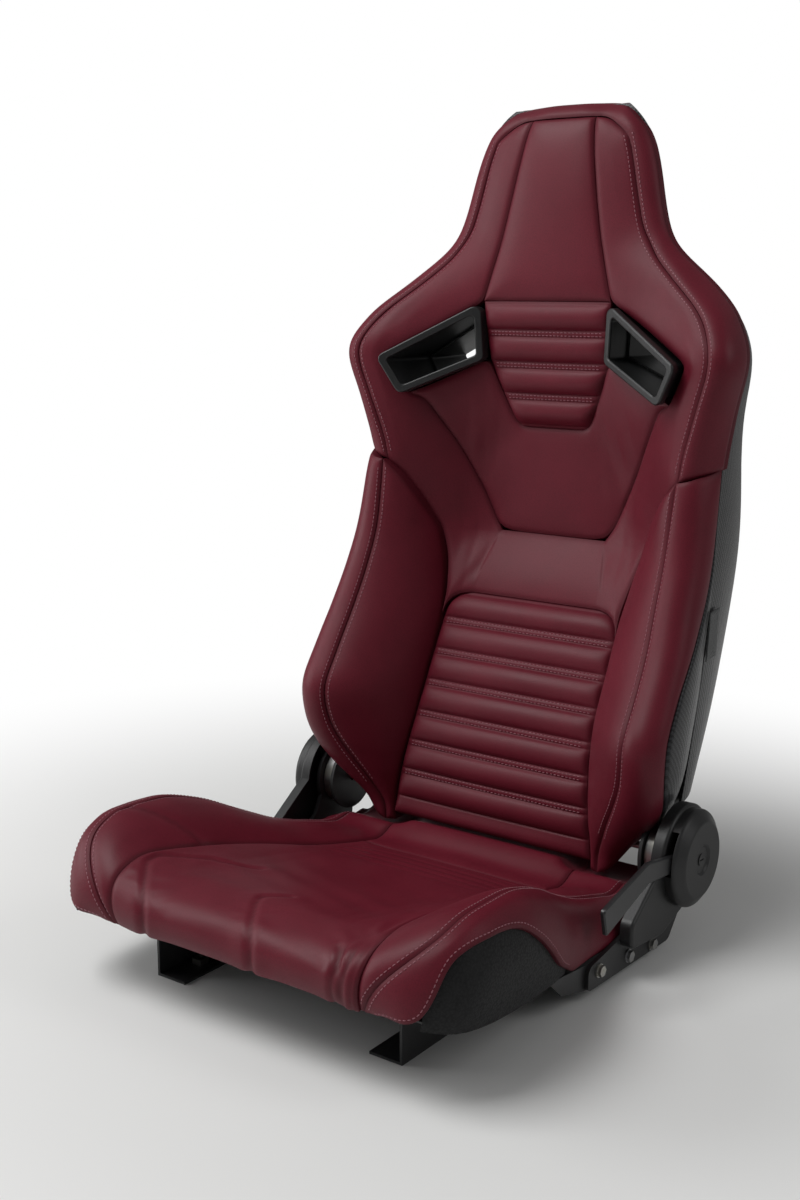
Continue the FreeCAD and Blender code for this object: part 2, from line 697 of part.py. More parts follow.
def shell_section(z, width, rim_y, corner_x, corner_y, back_y, wall, forward=0.0):
    """One horizontal section of the back shell, as a closed wire that may reach forward of the rim."""
    rim = V(width - wall, rim_y, z)
    mouth = V(width - wall, rim_y - forward, z)
    side = V(corner_x + 0.62 * (width - corner_x) - wall, rim_y + 0.55 * (corner_y - rim_y), z)
    corner = V(corner_x - 0.8 * wall, corner_y - 0.6 * wall, z)
    back = V(0, back_y - wall, z)
    flip = lambda p: V(-p.x, p.y, p.z)
    edges = [Part.Arc(rim, side, corner).toShape(), Part.Arc(corner, back, flip(corner)).toShape(),
             Part.Arc(flip(corner), flip(side), flip(rim)).toShape()]
    if forward > 0:
        return Part.Wire(edges + [line(flip(rim), flip(mouth)), line(flip(mouth), mouth), line(mouth, rim)])
    return Part.Wire(edges + [line(flip(rim), rim)])


def back_shell():
    """The hollow laminate back: one smooth skin with a bulge behind the lumbar region."""
    outer = loft([shell_section(*s, 0.0) for s in shell_stations])
    under_top = (head_top_z - shell_wall,) + shell_stations[-1][1:]
    inner = loft([shell_section(*s, shell_wall, 70.0) for s in shell_stations[:-1] + [under_top]])
    body = outer.cut(inner)
    for side in (1, -1):
        hole = plate_y([(side * x, z) for x, z in grown(bezel_corners, rear_ring - bezel_ring)],
                       [bezel_corner_r] * 4, 380, 520)
        body = body.cut(hole)
    return max(body.Solids, key=lambda s: s.Volume)


# Harness openings
def grown(corners, by):
    """A four-cornered outline moved outward by a distance, or inward if it is negative."""
    count = len(corners)
    lines = []
    for i in range(count):
        (x0, z0), (x1, z1) = corners[i], corners[(i + 1) % count]
        length = math.hypot(x1 - x0, z1 - z0)
        nx, nz = (z0 - z1) / length, (x1 - x0) / length
        lines.append((x0 - nx * by, z0 - nz * by, x1 - x0, z1 - z0))
    result = []
    for i in range(count):
        ax, az, adx, adz = lines[i - 1]
        bx, bz, bdx, bdz = lines[i]
        t = ((bx - ax) * bdz - (bz - az) * bdx) / (adx * bdz - adz * bdx)
        result.append((ax + t * adx, az + t * adz))
    return result


def slanted(offset, reach):
    """Everything in front of the bezel's slanted plane, moved back by an offset."""
    x0, x1 = 20.0, 280.0
    points = [V(x0, bezel_plane_y(x0) + offset, 500), V(x1, bezel_plane_y(x1) + offset, 500),
              V(x1, bezel_plane_y(x1) + offset - reach, 500), V(x0, bezel_plane_y(x0) + offset - reach, 500)]
    return Part.Face(Part.makePolygon(points + points[:1])).extrude(V(0, 0, 320))


def ring_y(outer_grow, inner_grow, y0, y1):
    """A four-sided ring round the harness opening, straight along Y."""
    outer = plate_y(grown(bezel_corners, outer_grow), [max(2.0, bezel_corner_r + outer_grow / 2)] * 4, y0, y1)
    inner = plate_y(grown(bezel_corners, inner_grow), [max(2.0, bezel_corner_r + inner_grow / 2)] * 4,
                    y0 - 1, y1 + 1)
    return outer.cut(inner)


def harness_bezel():
    """Front bezel with its sleeve, one moulding: a slanted rounded ring and a straight tunnel."""
    ring = ring_y(0, -bezel_ring, 180, 420).common(slanted(8.0, 8.0 + bezel_proud))
    def on_face(edge):
        return all(abs(v.Y - bezel_plane_y(v.X) + bezel_proud) < 1e-3 for v in edge.Vertexes)
    ring = ring.makeFillet(bezel_fillet, [e for e in ring.Edges if on_face(e)])
    sleeve = ring_y(-bezel_ring + sleeve_wall, -bezel_ring, 180, front_sleeve_end_y).cut(slanted(4.0, 300.0))
    return ring.fuse(sleeve).removeSplitter()


def harness_sleeve():
    """Rear moulding: a flange in the shell and a sleeve that slides inside the front one."""
    inside = -bezel_ring - sleeve_clearance
    flange_y = 470.0
    ring = ring_y(rear_ring - bezel_ring - flange_fit, inside - sleeve_wall, 380, flange_y)
    outer = loft([shell_section(*s, -1.0) for s in shell_stations])
    inner = loft([shell_section(*s, rear_ring_thick) for s in shell_stations])
    ring = ring.common(outer).cut(inner)
    sleeve = ring_y(inside, inside - sleeve_wall, front_sleeve_end_y - sleeve_overlap, flange_y).common(outer)
    body = ring.fuse(sleeve).removeSplitter()
    return max(body.Solids, key=lambda s: s.Volume)


# Upholstery of the backrest
# Height, half width of the flat middle, ridge half width and depth, edge half width and depth, depth behind
upper_stations = [(300, 70, 196, 262, 236, 292, 352), (380, 84, 202, 240, 238, 300, 372),
                  (430, 96, 202, 258, 238, 306, 384), (517, 100, 205, 268, 242, 312, 386),
                  (600, 84, 232, 257, 253, 315, 372), (655, 76, 250, 250, 263, 318, 362),
                  (700, 80, 228, 279, 246, 326, 363), (735, 76, 182, 307, 208, 340, 369),
                  (791, 62, 124, 335, 143, 352, 379), (887, 46, 98, 346, 115, 364, 395),
                  (922, 38, 84, 352, 99, 369, 397), (head_top_z, 26, 62, 366, 78, 374, 388)]


def upper_section(z, flat_x, ridge_x, ridge_y, edge_x, edge_y, rear_y):
    """One horizontal section of the upper backrest, with its wings swept forward."""
    front = front_y(z) if z < 900 else front_y(z) + (z - 900) * 0.1
    flat = V(flat_x, front, z)
    ridge = V(ridge_x, ridge_y, z)
    edge = V(edge_x, edge_y, z)
    seat_x = edge_x - 12
    seat = V(seat_x, edge_y, z)
    back = V(seat_x - 26 if z < 750 else seat_x - 12, rear_y, z)
    flip = lambda p: V(-p.x, p.y, p.z)
    half = [arc(flat, ridge, wing_hollow), arc(ridge, edge, -tip_bulge), line(edge, seat), line(seat, back)]
    other = [line(flip(back), flip(seat)), line(flip(seat), flip(edge)),
             arc(flip(edge), flip(ridge), -tip_bulge), arc(flip(ridge), flip(flat), wing_hollow)]
    return Part.Wire(half + [line(back, flip(back))] + other + [line(flip(flat), flat)])


# Height, seam half width and depth, ridge half width and depth, outer corner, edge half width and depth
bolster_stations = [
    (90, 141, 211, 152, 206, 183, 214, 190, 262), (108, 139, 211, 162, 197, 196, 205, 197, 263),
    (130, 136, 213, 172, 186, 217, 194, 208, 264), (165, 131, 222, 192, 168, 243, 178, 222, 268),
    (200, 126, 234, 207, 154, 253, 169, 229, 273), (238, 124, 248, 211, 147, 255, 167, 232, 279),
    (285, 124, 271, 211, 173, 252, 189, 235, 287), (335, 125, 294, 209, 204, 248, 219, 236, 294),
    (385, 133, 312, 205, 229, 242, 244, 238, 301), (435, 146, 316, 203, 250, 239, 264, 239, 306),
    (485, 152, 308, 204, 261, 236, 276, 240, 310), (540, 160, 300, 206, 271, 233, 287, 242, 313)]


def bolster_section(z, seam_x, seam_y, ridge_x, ridge_y, side_x, side_y, edge_x, edge_y):
    """One horizontal section of the big side bolster."""
    inner = V(seam_x - 22, seam_y + 5, z)
    ridge = V(ridge_x, ridge_y, z)
    side = V(side_x, side_y, z)
    edge = V(edge_x, edge_y, z)
    behind = V(seam_x - 22, edge_y, z)
    edges = [arc(inner, ridge, -bolster_crown), arc(ridge, side, -corner_crown), arc(side, edge, -side_crown),
             line(edge, behind), line(behind, inner)]
    return Part.Wire(edges)


def region(points):
    """A block through the whole backrest over one region of its front view."""
    return plate_y(points, [0] * len(points), 120, 420)


def symmetric(points):
    """An outline from its right half, given from the top down."""
    return points + [(-x, z) for x, z in reversed(points)]


def head_region():
    """The tapering panel between the two curved seams of the headrest."""
    low = V(head_seam_low_x, 120, head_low_z)
    mid = V(head_seam_mid_x, 120, (head_low_z + head_top_z) / 2)
    top = V(head_seam_top_x, 120, head_top_z + 5)
    flip = lambda p: V(-p.x, p.y, p.z)
    wire = Part.Wire([Part.Arc(low, mid, top).toShape(), line(top, flip(top)),
                      Part.Arc(flip(top), flip(mid), flip(low)).toShape(), line(flip(low), low)])
    return Part.Face(wire).extrude(V(0, 300, 0))


upper_pad_half = [bezel_corners[0], bezel_corners[1], (upper_pad_notch_x, upper_pad_notch_z),
                  (upper_pad_bottom_x, upper_pad_bottom_z)]
panel_seam = [(169.0, 606.0), (133.0, 544.0), (106.0, 490.0), (panel_bottom_x, panel_bottom_z)]
bolster_seam = [(250.0, 533.0), (199.0, 517.0), (166.0, 469.0), (144.0, 433.0), (130.0, 394.0),
                (123.0, 353.0), (124.0, 325.0)]
lower_pad_half = [(lower_pad_top_x, lower_pad_top_z), (116.0, 345.0), bolster_seam[-1],
                  (lower_pad_side_x, 250.0), (lower_pad_side_x, 180.0),
                  (lower_pad_end_x, lower_pad_end_z), (lower_pad_end_x + 3, pad_bottom_z)]


def shoulder_region():
    """Wing, shoulder and head side: one region from the head's top to the bolster."""
    outer = [(head_seam_top_x, head_top_z + 5), (300, head_top_z + 5), (300, 533.0)]
    points = outer + bolster_seam[:4] + [(bolster_seam[3][0], panel_bottom_z)] + panel_seam[::-1]
    points = points + [bezel_corners[2], bezel_corners[3], bezel_corners[0], (head_seam_low_x, head_low_z),
                       (head_seam_mid_x - 30, (head_low_z + head_top_z) / 2)]
    return region(points).cut(head_region())


def rolled_pad(z0, z1, rolls, half_width, thick):
    """A pad with sewn rolls: a loft of three side profiles made of arcs, fullest in the middle."""
    wires = []
    for x, rise in ((-half_width, roll_rise_edge), (0, roll_rise), (half_width, roll_rise_edge)):
        pitch = (z1 - z0) / rolls
        edges = []
        for i in range(rolls):
            low = z0 + i * pitch
            a = V(x, front_y(low), low)
            b = V(x, front_y(low + pitch), low + pitch)
            mid = (a + b) / 2 - V(0, rise, 0)
            edges.append(Part.Arc(a, mid, b).toShape())
        top = V(x, front_y(z1) + thick, z1)
        foot = V(x, front_y(z0) + pad_foot_thick, z0)
        edges += [line(V(x, front_y(z1), z1), top), line(top, foot), line(foot, V(x, front_y(z0), z0))]
        wires.append(Part.Wire(edges))
    return loft(wires)


def side_tag():
    """A plain fabric tag sewn into the seam between bolster and shell."""
    lean = 0.13 * tag_height
    outline = [(tag_y, tag_z - tag_height / 2), (tag_y + tag_width, tag_z - tag_height / 2),
               (tag_y + tag_width + lean, tag_z + tag_height / 2), (tag_y + lean, tag_z + tag_height / 2)]
    return plate_x(outline, [0] * 4, tag_x, tag_x + tag_sheet)


def rod_tunnel():
    return cylinder_x(rod_r + rod_clearance, -side_plate_x, side_plate_x, pivot_y, pivot_z)


def back_obstacles():
    """Everything of the frame that the foam is moulded round."""
    wire, start, direction = bowed_bar_wire()
    bowed = wire.makePipeShell([Part.Wire(Part.Circle(start, direction, bar_r).toShape())], True, True)
    return [cylinder_x(bar_r, -side_plate_x, side_plate_x, hoop_y(low_bar_z), low_bar_z), bowed, hoop_rod()]


# Cushion: distance along Y, widest half width, ridge height, middle height, outer edge height over the base
cushion_stations = [(-258, 205, 106, 106, 92), (-251, 230, 126, 119, 88), (-239, 249, 148, 127, 86),
                    (-214, 265, 171, 130, 88), (-175, 268, 184, 122, 94), (-120, 266, 183, 110, 96),
                    (-60, 260, 166, 98, 84), (0, 248, 134, 87, 66), (60, 240, 103, 76, 52),
                    (120, 238, 82, 66, 42), (164, 237, 70, 58, 40), (192, 236, 76, 77, 44),
                    (218, 233, 80, 86, 50), (252, 226, 80, 84, 66)]


def cushion_floor(y):
    """Height of the foam's underside: on the pan, and drawn up in front of it and behind it."""
    on_pan = pan_z(min(max(y, pan_front_y), pan_rear_y)) + band_sheet + foam_gap
    before = max(0.0, pan_front_y - y)
    behind = max(0.0, y - pan_rear_y)
    return on_pan + cushion_bare_rise * before + cushion_rear_rise * behind


def cushion_section(y, width, ridge_z, middle_z, edge_z, inset):
    """One cross section of the cushion: a dish between two humps, its sides drawn in by an inset."""
    at = y + inset if y < pan_front_y else y
    floor = cushion_floor(at) - core_floor_drop * inset
    low = V(width - 4 - inset, at, floor)
    edge = V(width - inset, at, max(edge_z, floor + 6))
    ridge = V(width - 34 - inset, at, ridge_z)
    flat = V(min(width - 70, 112), at, middle_z)
    flip = lambda p: V(-p.x, p.y, p.z)
    bulge = hump_bulge * (ridge_z - edge.z) + 2
    hollow = -dish_hollow * abs(ridge_z - middle_z) - 1
    right = [line(low, edge), arc_in(edge, ridge, bulge), arc_in(ridge, flat, hollow)]
    left = [arc_in(flip(flat), flip(ridge), hollow), arc_in(flip(ridge), flip(edge), bulge),
            line(flip(edge), flip(low))]
    return Part.Wire(right + [line(flat, flip(flat))] + left + [line(flip(low), low)])


def cushion_loft(inset):
    return loft([cushion_section(*s, inset) for s in cushion_stations])


def arc_in(a, b, sag):
    """An arc in a plane square to Y, bulging up by sag where it is positive."""
    chord = b - a
    across = V(chord.z, 0, -chord.x).normalize()
    if across.z < 0:
        across = across * -1
    return Part.Arc(a, (a + b) / 2 + across * sag, b).toShape()


def insert_edge_x(y):
    return insert_rear_x + (insert_front_x - insert_rear_x) * (rear_roll_y - y) / (rear_roll_y - front_roll_y)


def cushion_region(name):
    """A block through the cushion over one of its parts in plan."""
    xf = insert_front_x
    xr = insert_rear_x
    far = 300.0
    outlines = {
        "insert": [(-xf, front_roll_y), (xf, front_roll_y), (xr, rear_roll_y), (-xr, rear_roll_y)],
        "front": [(-xf, -far), (xf, -far), (xf, front_roll_y), (-xf, front_roll_y)],
        "rear": [(-xr, rear_roll_y), (xr, rear_roll_y), (xr, far), (-xr, far)],
        "side": [(xf, -far), (far, -far), (far, far), (xr, far), (xr, rear_roll_y), (xf, front_roll_y)]}
    return plate_z(outlines[name], 0, 260)


def skirt_region():
    """The arch under the side cover: a block along X with its outline given as Y and Z."""
    outline = [(-280.0, 30.0), (-280.0, 84.0), (-262.0, 92.0), (-238.0, skirt_crown_z - 4),
               (-200.0, skirt_crown_z), (-138.0, skirt_crown_z), (-84.0, 107.0), (-52.0, 72.0), (-20.0, 30.0)]
    return plate_x(outline, [0, 6, 12, 14, 30, 30, 60, 20, 0], 196, 320)


def swing_room():
    """Room in the cushion's rear for the backrest to turn: least behind the pads, most beside the plates."""
    rooms = [cylinder_x(pad_swing_r, -side_plate_x, side_plate_x, pivot_y, pivot_z)]
    for start, r in ((lower_pad_side_x, bolster_swing_r), (side_plate_x - arch_clearance, plate_swing_r)):
        room = cylinder_x(r, start, 320, pivot_y, pivot_z)
        rooms += [room, mirrored(room)]
    return rooms


# Writing the base
export_pair("mount_rail", mount_rail())
export("weld_nuts", weld_nuts())
export("front_cross_tube", cross_tube(front_tube_y))
export("rear_cross_tube", cross_tube(rear_tube_y))
export("seat_pan", seat_pan())
export("suspension_bands", suspension_bands())
export_pair("recliner_bracket", recliner_bracket())
bolts = [bracket_bolt(y, z) for y, z in bracket_bolts]
export("bracket_bolts", Part.Compound(bolts + [mirrored(b) for b in bolts]))
export_pair("recliner_fixed_disc", disc_half_fixed())
export_pair("recliner_retaining_ring", retaining_ring())
export_pair("return_spring", return_spring())
export_pair("recliner_inner_cover", inner_cover())
export("recliner_outer_cover_right", outer_cover(True))
export("recliner_outer_cover_left", mirrored(outer_cover(False)))
export("cover_caps", both(cover_cap()))

# Writing the cushion
cushion = cushion_loft(0.0).cut(swing_room())
insert = cushion.common(cushion_region("insert"))
for i in range(insert_channels):
    y = rear_roll_y - 14 - i * insert_channel_pitch
    z = between([(s[0], s[3]) for s in cushion_stations], y) + 1.0
    insert = insert.cut(cylinder_x(channel_r, -insert_edge_x(y) - 9, insert_edge_x(y) + 9, y, z))
export("cushion_insert", insert)
export("cushion_front_roll", cushion.common(cushion_region("front")))
export("cushion_rear_roll", cushion.common(cushion_region("rear")))
foam_core = cushion_loft(skirt_inset)
pocket = skirt_region().cut(foam_core)
cushion_side = cushion.common(cushion_region("side")).cut([pocket] + bolts)
export_pair("cushion_bolster", max(cushion_side.Solids, key=lambda s: s.Volume))
skirt = cushion_loft(skirt_inset - skirt_sheet).common(pocket)
export_pair("side_skirt", max(skirt.Solids, key=lambda s: s.Volume))

# Writing the lever
export("recline_lever", lever_plate())
export("lever_hub", lever_hub())
export("sync_rod", sync_rod())

# Writing the backrest
export_pair("back_side_plate", side_plate())
export_pair("recliner_moving_disc", disc_half_moving())
export("back_hoop", back_hoop())
export("lower_cross_bar", lower_cross_bar())
export("middle_cross_bar", middle_cross_bar())
shell = back_shell()
export("back_shell", shell)
export_pair("harness_bezel", harness_bezel())
export_pair("harness_sleeve", harness_sleeve())
upper = loft([upper_section(*s) for s in upper_stations])
bezel_room = plate_y(bezel_corners, [bezel_corner_r] * 4, 120, 420)
upper = upper.cut([bezel_room, mirrored(bezel_room), shell] + back_obstacles())
upper = max(upper.Solids, key=lambda s: s.Volume)
export("headrest_pad", upper.common(head_region()))
export_pair("shoulder_pad", upper.common(shoulder_region()))
panel_half = bezel_corners[1:3] + panel_seam
panel_region = region(symmetric(panel_half)).cut(region(symmetric(upper_pad_half)))
export("centre_panel", upper.common(panel_region))
lumbar_half = [(panel_bottom_x, panel_bottom_z), (bolster_seam[3][0], panel_bottom_z)] + bolster_seam[4:]
lumbar = upper.common(region(symmetric(lumbar_half))).cut(region(symmetric(lower_pad_half)))
export("lumbar_band", max(lumbar.Solids, key=lambda s: s.Volume))
upper_pad = rolled_pad(upper_pad_bottom_z, head_low_z, upper_rolls, upper_pad_half_width, upper_pad_thick)
export("upper_rib_pad", upper_pad.common(region(symmetric(upper_pad_half))))
lower_pad = rolled_pad(lower_pad_end_z, lower_pad_top_z, lower_rolls, lower_pad_half_width, lower_pad_thick)
lower_pad = lower_pad.common(region(symmetric(lower_pad_half))).cut([rod_tunnel()] + back_obstacles())
turning_foot = cylinder_x(pad_swing_r - 2 * foam_gap, -side_plate_x, side_plate_x, pivot_y, pivot_z)
above_pivot = box(-side_plate_x, side_plate_x, 100, 400, pivot_z, head_top_z)
export("lower_rib_pad", lower_pad.common(turning_foot.fuse(above_pivot)))
bolster = loft([bolster_section(*s) for s in bolster_stations])
bolster_outline = [(300, 533.0)] + bolster_seam + lower_pad_half[3:6] + [(lower_pad_end_x + 3, 90), (300, 90)]
bolster = bolster.common(region(bolster_outline))
arch_room = cylinder_x(swing_r, side_plate_x, 320, pivot_y, pivot_z)
below_arch = box(side_plate_x, 320, 100, 320, 0, pivot_z)
bolster = bolster.cut([arch_room, below_arch, side_plate(), shell, rod_tunnel()] + back_obstacles())
bolster = max(bolster.Solids, key=lambda s: s.Volume)
export_pair("back_bolster", bolster)
export("side_tag", side_tag().cut([bolster, shell]))
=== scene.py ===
import json
import math

import bpy
import numpy as np
from bpy.props import FloatProperty, FloatVectorProperty, PointerProperty
from bpy.types import Operator, Panel, PropertyGroup
from mathutils import Matrix, Vector
from mathutils.bvhtree import BVHTree


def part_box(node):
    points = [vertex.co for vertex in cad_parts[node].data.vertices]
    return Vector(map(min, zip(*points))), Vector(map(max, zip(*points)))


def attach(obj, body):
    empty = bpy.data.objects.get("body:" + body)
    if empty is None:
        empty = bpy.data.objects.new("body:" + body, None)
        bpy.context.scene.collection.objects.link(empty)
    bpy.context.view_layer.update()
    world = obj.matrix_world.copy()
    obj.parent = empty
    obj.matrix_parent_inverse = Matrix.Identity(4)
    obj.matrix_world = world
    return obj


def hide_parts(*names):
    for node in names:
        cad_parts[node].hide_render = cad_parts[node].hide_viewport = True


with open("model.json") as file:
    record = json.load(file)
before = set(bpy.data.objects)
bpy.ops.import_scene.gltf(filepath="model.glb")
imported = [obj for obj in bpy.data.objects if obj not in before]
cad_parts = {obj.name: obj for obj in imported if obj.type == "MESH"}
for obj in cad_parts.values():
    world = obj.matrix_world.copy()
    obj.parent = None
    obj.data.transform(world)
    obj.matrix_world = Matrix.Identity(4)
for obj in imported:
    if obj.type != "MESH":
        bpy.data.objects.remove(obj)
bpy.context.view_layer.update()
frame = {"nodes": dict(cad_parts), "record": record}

bl_info = {
    "name": "Reclining racing seat",
    "version": (1, 0, 0),
    "blender": (4, 5, 0),
    "location": "View3D > Sidebar > Seat",
    "description": "Dresses the seat's fixed frame: sewn covers, stitching, finishes and a studio",
    "category": "Add Mesh",
}

MM = 0.001
SIDES = (("right", 1), ("left", -1))
OTHER_SIDE = np.array([-1.0, 1.0, 1.0])
# Lengths are millimetres from here on, apart from those of the property groups and the studio, which are metres

# Depth of the backrest's front face on its centre line: height, depth
FRONT_LINE = [
    (70, 207), (84, 209), (134, 213), (173, 221), (211, 234), (245, 250), (280, 268), (317, 288),
    (354, 306), (392, 330), (430, 348), (470, 352), (520, 351), (600, 337), (641, 331), (716, 321),
    (791, 326), (887, 339), (942, 354)]
# Upper backrest: height, half width of the flat middle, ridge half width and depth, edge half width and depth
BACK_STATIONS = [
    (300, 100, 196, 262, 236, 292), (380, 105, 202, 240, 238, 300), (430, 104, 202, 258, 238, 306),
    (517, 100, 205, 268, 242, 312), (600, 84, 232, 257, 253, 315), (655, 76, 250, 250, 263, 318),
    (700, 80, 228, 279, 246, 326), (735, 76, 182, 307, 208, 340), (791, 62, 124, 335, 143, 352),
    (887, 46, 98, 346, 115, 364), (922, 38, 84, 352, 99, 369), (942, 26, 62, 366, 78, 374)]
# Big side bolsters: height, seam, ridge, side and edge, each as half width and depth
BOLSTER_STATIONS = [
    (90, 141, 211, 152, 206, 183, 214, 190, 262), (108, 139, 211, 162, 197, 196, 205, 197, 263),
    (130, 136, 213, 172, 186, 217, 194, 208, 264), (165, 131, 222, 192, 168, 243, 178, 222, 268),
    (200, 126, 234, 207, 154, 253, 169, 229, 273), (238, 124, 248, 211, 147, 255, 167, 232, 279),
    (285, 124, 271, 211, 173, 252, 189, 235, 287), (335, 125, 292, 209, 204, 248, 219, 236, 294),
    (385, 133, 308, 205, 229, 242, 244, 238, 301), (435, 146, 314, 203, 250, 239, 264, 239, 306),
    (485, 152, 308, 204, 261, 236, 276, 240, 310), (540, 160, 300, 206, 271, 233, 287, 242, 313)]
# Cushion along its length: run, depth, half width, ridge height, middle height, edge height, foot height
CUSHION_STATIONS = [
    (-300, -246, 198, 74, 74, 73, 72), (-284, -255, 205, 90, 88, 80, 76),
    (-268, -258, 218, 112, 106, 88, 80), (-254, -252, 232, 130, 119, 90, 78),
    (-239, -240, 249, 149, 127, 88, 74), (-214, -214, 265, 171, 130, 88, 71),
    (-175, -175, 268, 184, 122, 94, 66), (-120, -120, 266, 183, 110, 96, 60),
    (-60, -60, 260, 166, 98, 84, 54), (0, 0, 248, 134, 87, 66, 47), (60, 60, 240, 103, 76, 52, 40),
    (120, 120, 238, 82, 66, 42, 33), (164, 164, 237, 70, 58, 40, 29), (192, 192, 236, 75, 73, 44, 26),
    (218, 218, 233, 77, 79, 50, 34), (252, 252, 226, 78, 80, 66, 61)]
ARCH_LINE = [
    (-300, 60), (-262, 84), (-250, 100), (-240, 120), (-229, 141), (-214, 151), (-197, 154), (-168, 155),
    (-135, 150), (-107, 132), (-84, 112), (-71, 99), (-46, 74), (-14, 55), (20, 20), (260, 20)]
# How far the lines of a section bow, as shares of their lengths
BACK_BOWS, BOLSTER_BOWS, DISH_BOW, BULGE_BOW = (0.05, -0.13), (-0.06, -0.2, -0.07), -0.09, 0.16
# Cushion: how far inside its edge the dish ends, that end's greatest half width, and the ridge and foot inside
DISH_IN, DISH_MOST, RIDGE_IN, FOOT_IN = 70, 112, 34, 4
# Side cover's lower edge, across: at the nose, how much it tapers there, and the least elsewhere
NOSE_S, NOSE_TAPER, LEAST_S = 3.3, 1.1, 2.3
# Depth and height of the pan's front and rear, and the four bands that are stretched over it
PAN_FRONT, PAN_REAR = (-214.0, 68.0), (205.0, 21.0)
BAND_START, BAND_PITCH, BAND_WIDTH, BAND_LIFT, BAND_SAG = -100, 60, 32, 1.9, 1.6
# Skirts: how far they lie under the leather, where they end at the rear and where the nose begins
SKIRT_INSET, SKIRT_REAR, NOSE_W = 8.0, -12, -262
# Tag: its lean, how far forward it sits, how far its front edge stands off, and by how much less its rear edge
TAG_LEAN, TAG_FORWARD, TAG_OFF, TAG_TURN = 0.13, 11.0, 6.4, 5.6
# Head: its top, the radius that rolls over it, the seam under it, and the run at which its panel ends
HEAD_TOP, HEAD_ROLL, HEAD_LOW, BAND_W = 942.0, 20.0, 716.0, 930.0
# How far the rim band goes over the shell's rim: beside the head, at its corners and on top
OVER_SIDE, OVER_CORNER, OVER_TOP = 3.4, 1.6, 2.6
# Axis of the recliners
PIVOT_Y, PIVOT_Z = 222.0, 106.0
# The room in which the backrest turns: radius of the pads, of the cushion's hollow, and two steps outwards
FOOT_RADIUS, HOLLOW_RADIUS, STEPS_OUT = 32.5, 35.0, (11, 13)
# In front of this depth no cover goes below this height; and the gap left under the turning pads
NOSE_REAR, NOSE_FOOT, TURN_GAP = -225, 70.5, 0.6
# Corners of a harness opening's frame, and the distances from a seam at which a grid has its first lines
BEZEL = [(88.0, 716.0), (206.0, 648.0), (180.0, 601.0), (84.0, 645.0)]
EDGE_STEPS = (0.8, 2.0, 3.8, 6.4)
# Points closer than this are made one
WELD = 0.05
# Pads: depth of the first ring behind the rim, height and size of the slight unevenness, frames of filling
RING_DEPTH, UNEVEN, UNEVEN_SIZE, SWELL_FRAMES = 4.0, 0.35, 55, 14


class Table:
    """A table of stations, read between its rows by monotone cubics: Hermite with harmonic mean slopes."""

    def __init__(self, rows):
        rows = np.array(rows, float)
        self.x, self.y = rows[:, 0], rows[:, 1:]
        step = np.diff(self.x)[:, None]
        chord = np.diff(self.y, axis=0) / step
        both = chord[1:] + chord[:-1]
        product = chord[1:] * chord[:-1]
        mean = np.where(product > 0, 2 * product / np.where(product > 0, both, 1), 0)
        self.m = np.vstack([chord[:1], mean, chord[-1:]])

    def __call__(self, at):
        at = np.clip(at, self.x[0], self.x[-1])
        i = np.clip(np.searchsorted(self.x, at, side="right") - 1, 0, len(self.x) - 2)
        h = (self.x[i + 1] - self.x[i])[..., None]
        t = (at - self.x[i])[..., None] / h
        a, b, ma, mb = self.y[i], self.y[i + 1], self.m[i] * h, self.m[i + 1] * h
        return a + t * (ma + t * (3 * (b - a) - 2 * ma - mb + t * (2 * (a - b) + ma + mb)))


front_line = Table(FRONT_LINE)
back_table = Table(BACK_STATIONS)
bolster_table = Table(BOLSTER_STATIONS)
cushion_table = Table(CUSHION_STATIONS)
arch_line = Table(ARCH_LINE)


def length_of(v):
    return np.linalg.norm(v, axis=-1)


def ramp(value, start, length):
    """From 0 to 1 along a length that begins at a start, and even outside it."""
    return np.clip((value - start) / length, 0, 1)


def bell(value, width):
    """exp(-(value / width)^2)"""
    return np.exp(-(value / width) ** 2)


def unit(v):
    """Vectors scaled to length one; one without length stays as it is."""
    return v / np.maximum(np.linalg.norm(v, axis=-1, keepdims=True), 1e-9)


def bow(a, b, rise, t):
    """From a to b along a parabola whose middle stands off the chord's left side by a rise:
    a + t d + 4 t (1 - t) rise n."""
    d = b - a
    left = unit(np.stack([-d[..., 1], d[..., 0]], -1))
    t = t[..., None]
    return a + t * d + 4 * t * (1 - t) * rise[..., None] * left


def section(corners, rises, s):
    """A point at s on a chain of bowed lines: whole numbers are its corners, the fraction runs along a line."""
    i = np.clip(np.floor(s).astype(int), 0, len(corners) - 2)
    corners, rises = np.stack(corners, -2), np.stack(rises, -1)
    a = np.take_along_axis(corners, i[..., None, None], -2)[..., 0, :]
    b = np.take_along_axis(corners, i[..., None, None] + 1, -2)[..., 0, :]
    rise = np.take_along_axis(rises, i[..., None], -1)[..., 0]
    return bow(a, b, rise, s - i)


def pair(a, b):
    return np.stack([a, b], -1)


def softened(shape, s, w, reach, along, low, high):
    """Weighted mean of a shape's points round (s, w), five across and three along, to round its creases off."""
    room = np.clip(np.minimum(high - s, s - low), 0, reach)
    total = 0.0
    for k, across in ((-1, 1), (-0.5, 2), (0, 3), (0.5, 2), (1, 1)):
        for j, weight in ((-1, 1), (0, 2), (1, 1)):
            total = total + across * weight * shape(s + k * room, w + j * along)
    return total / 36


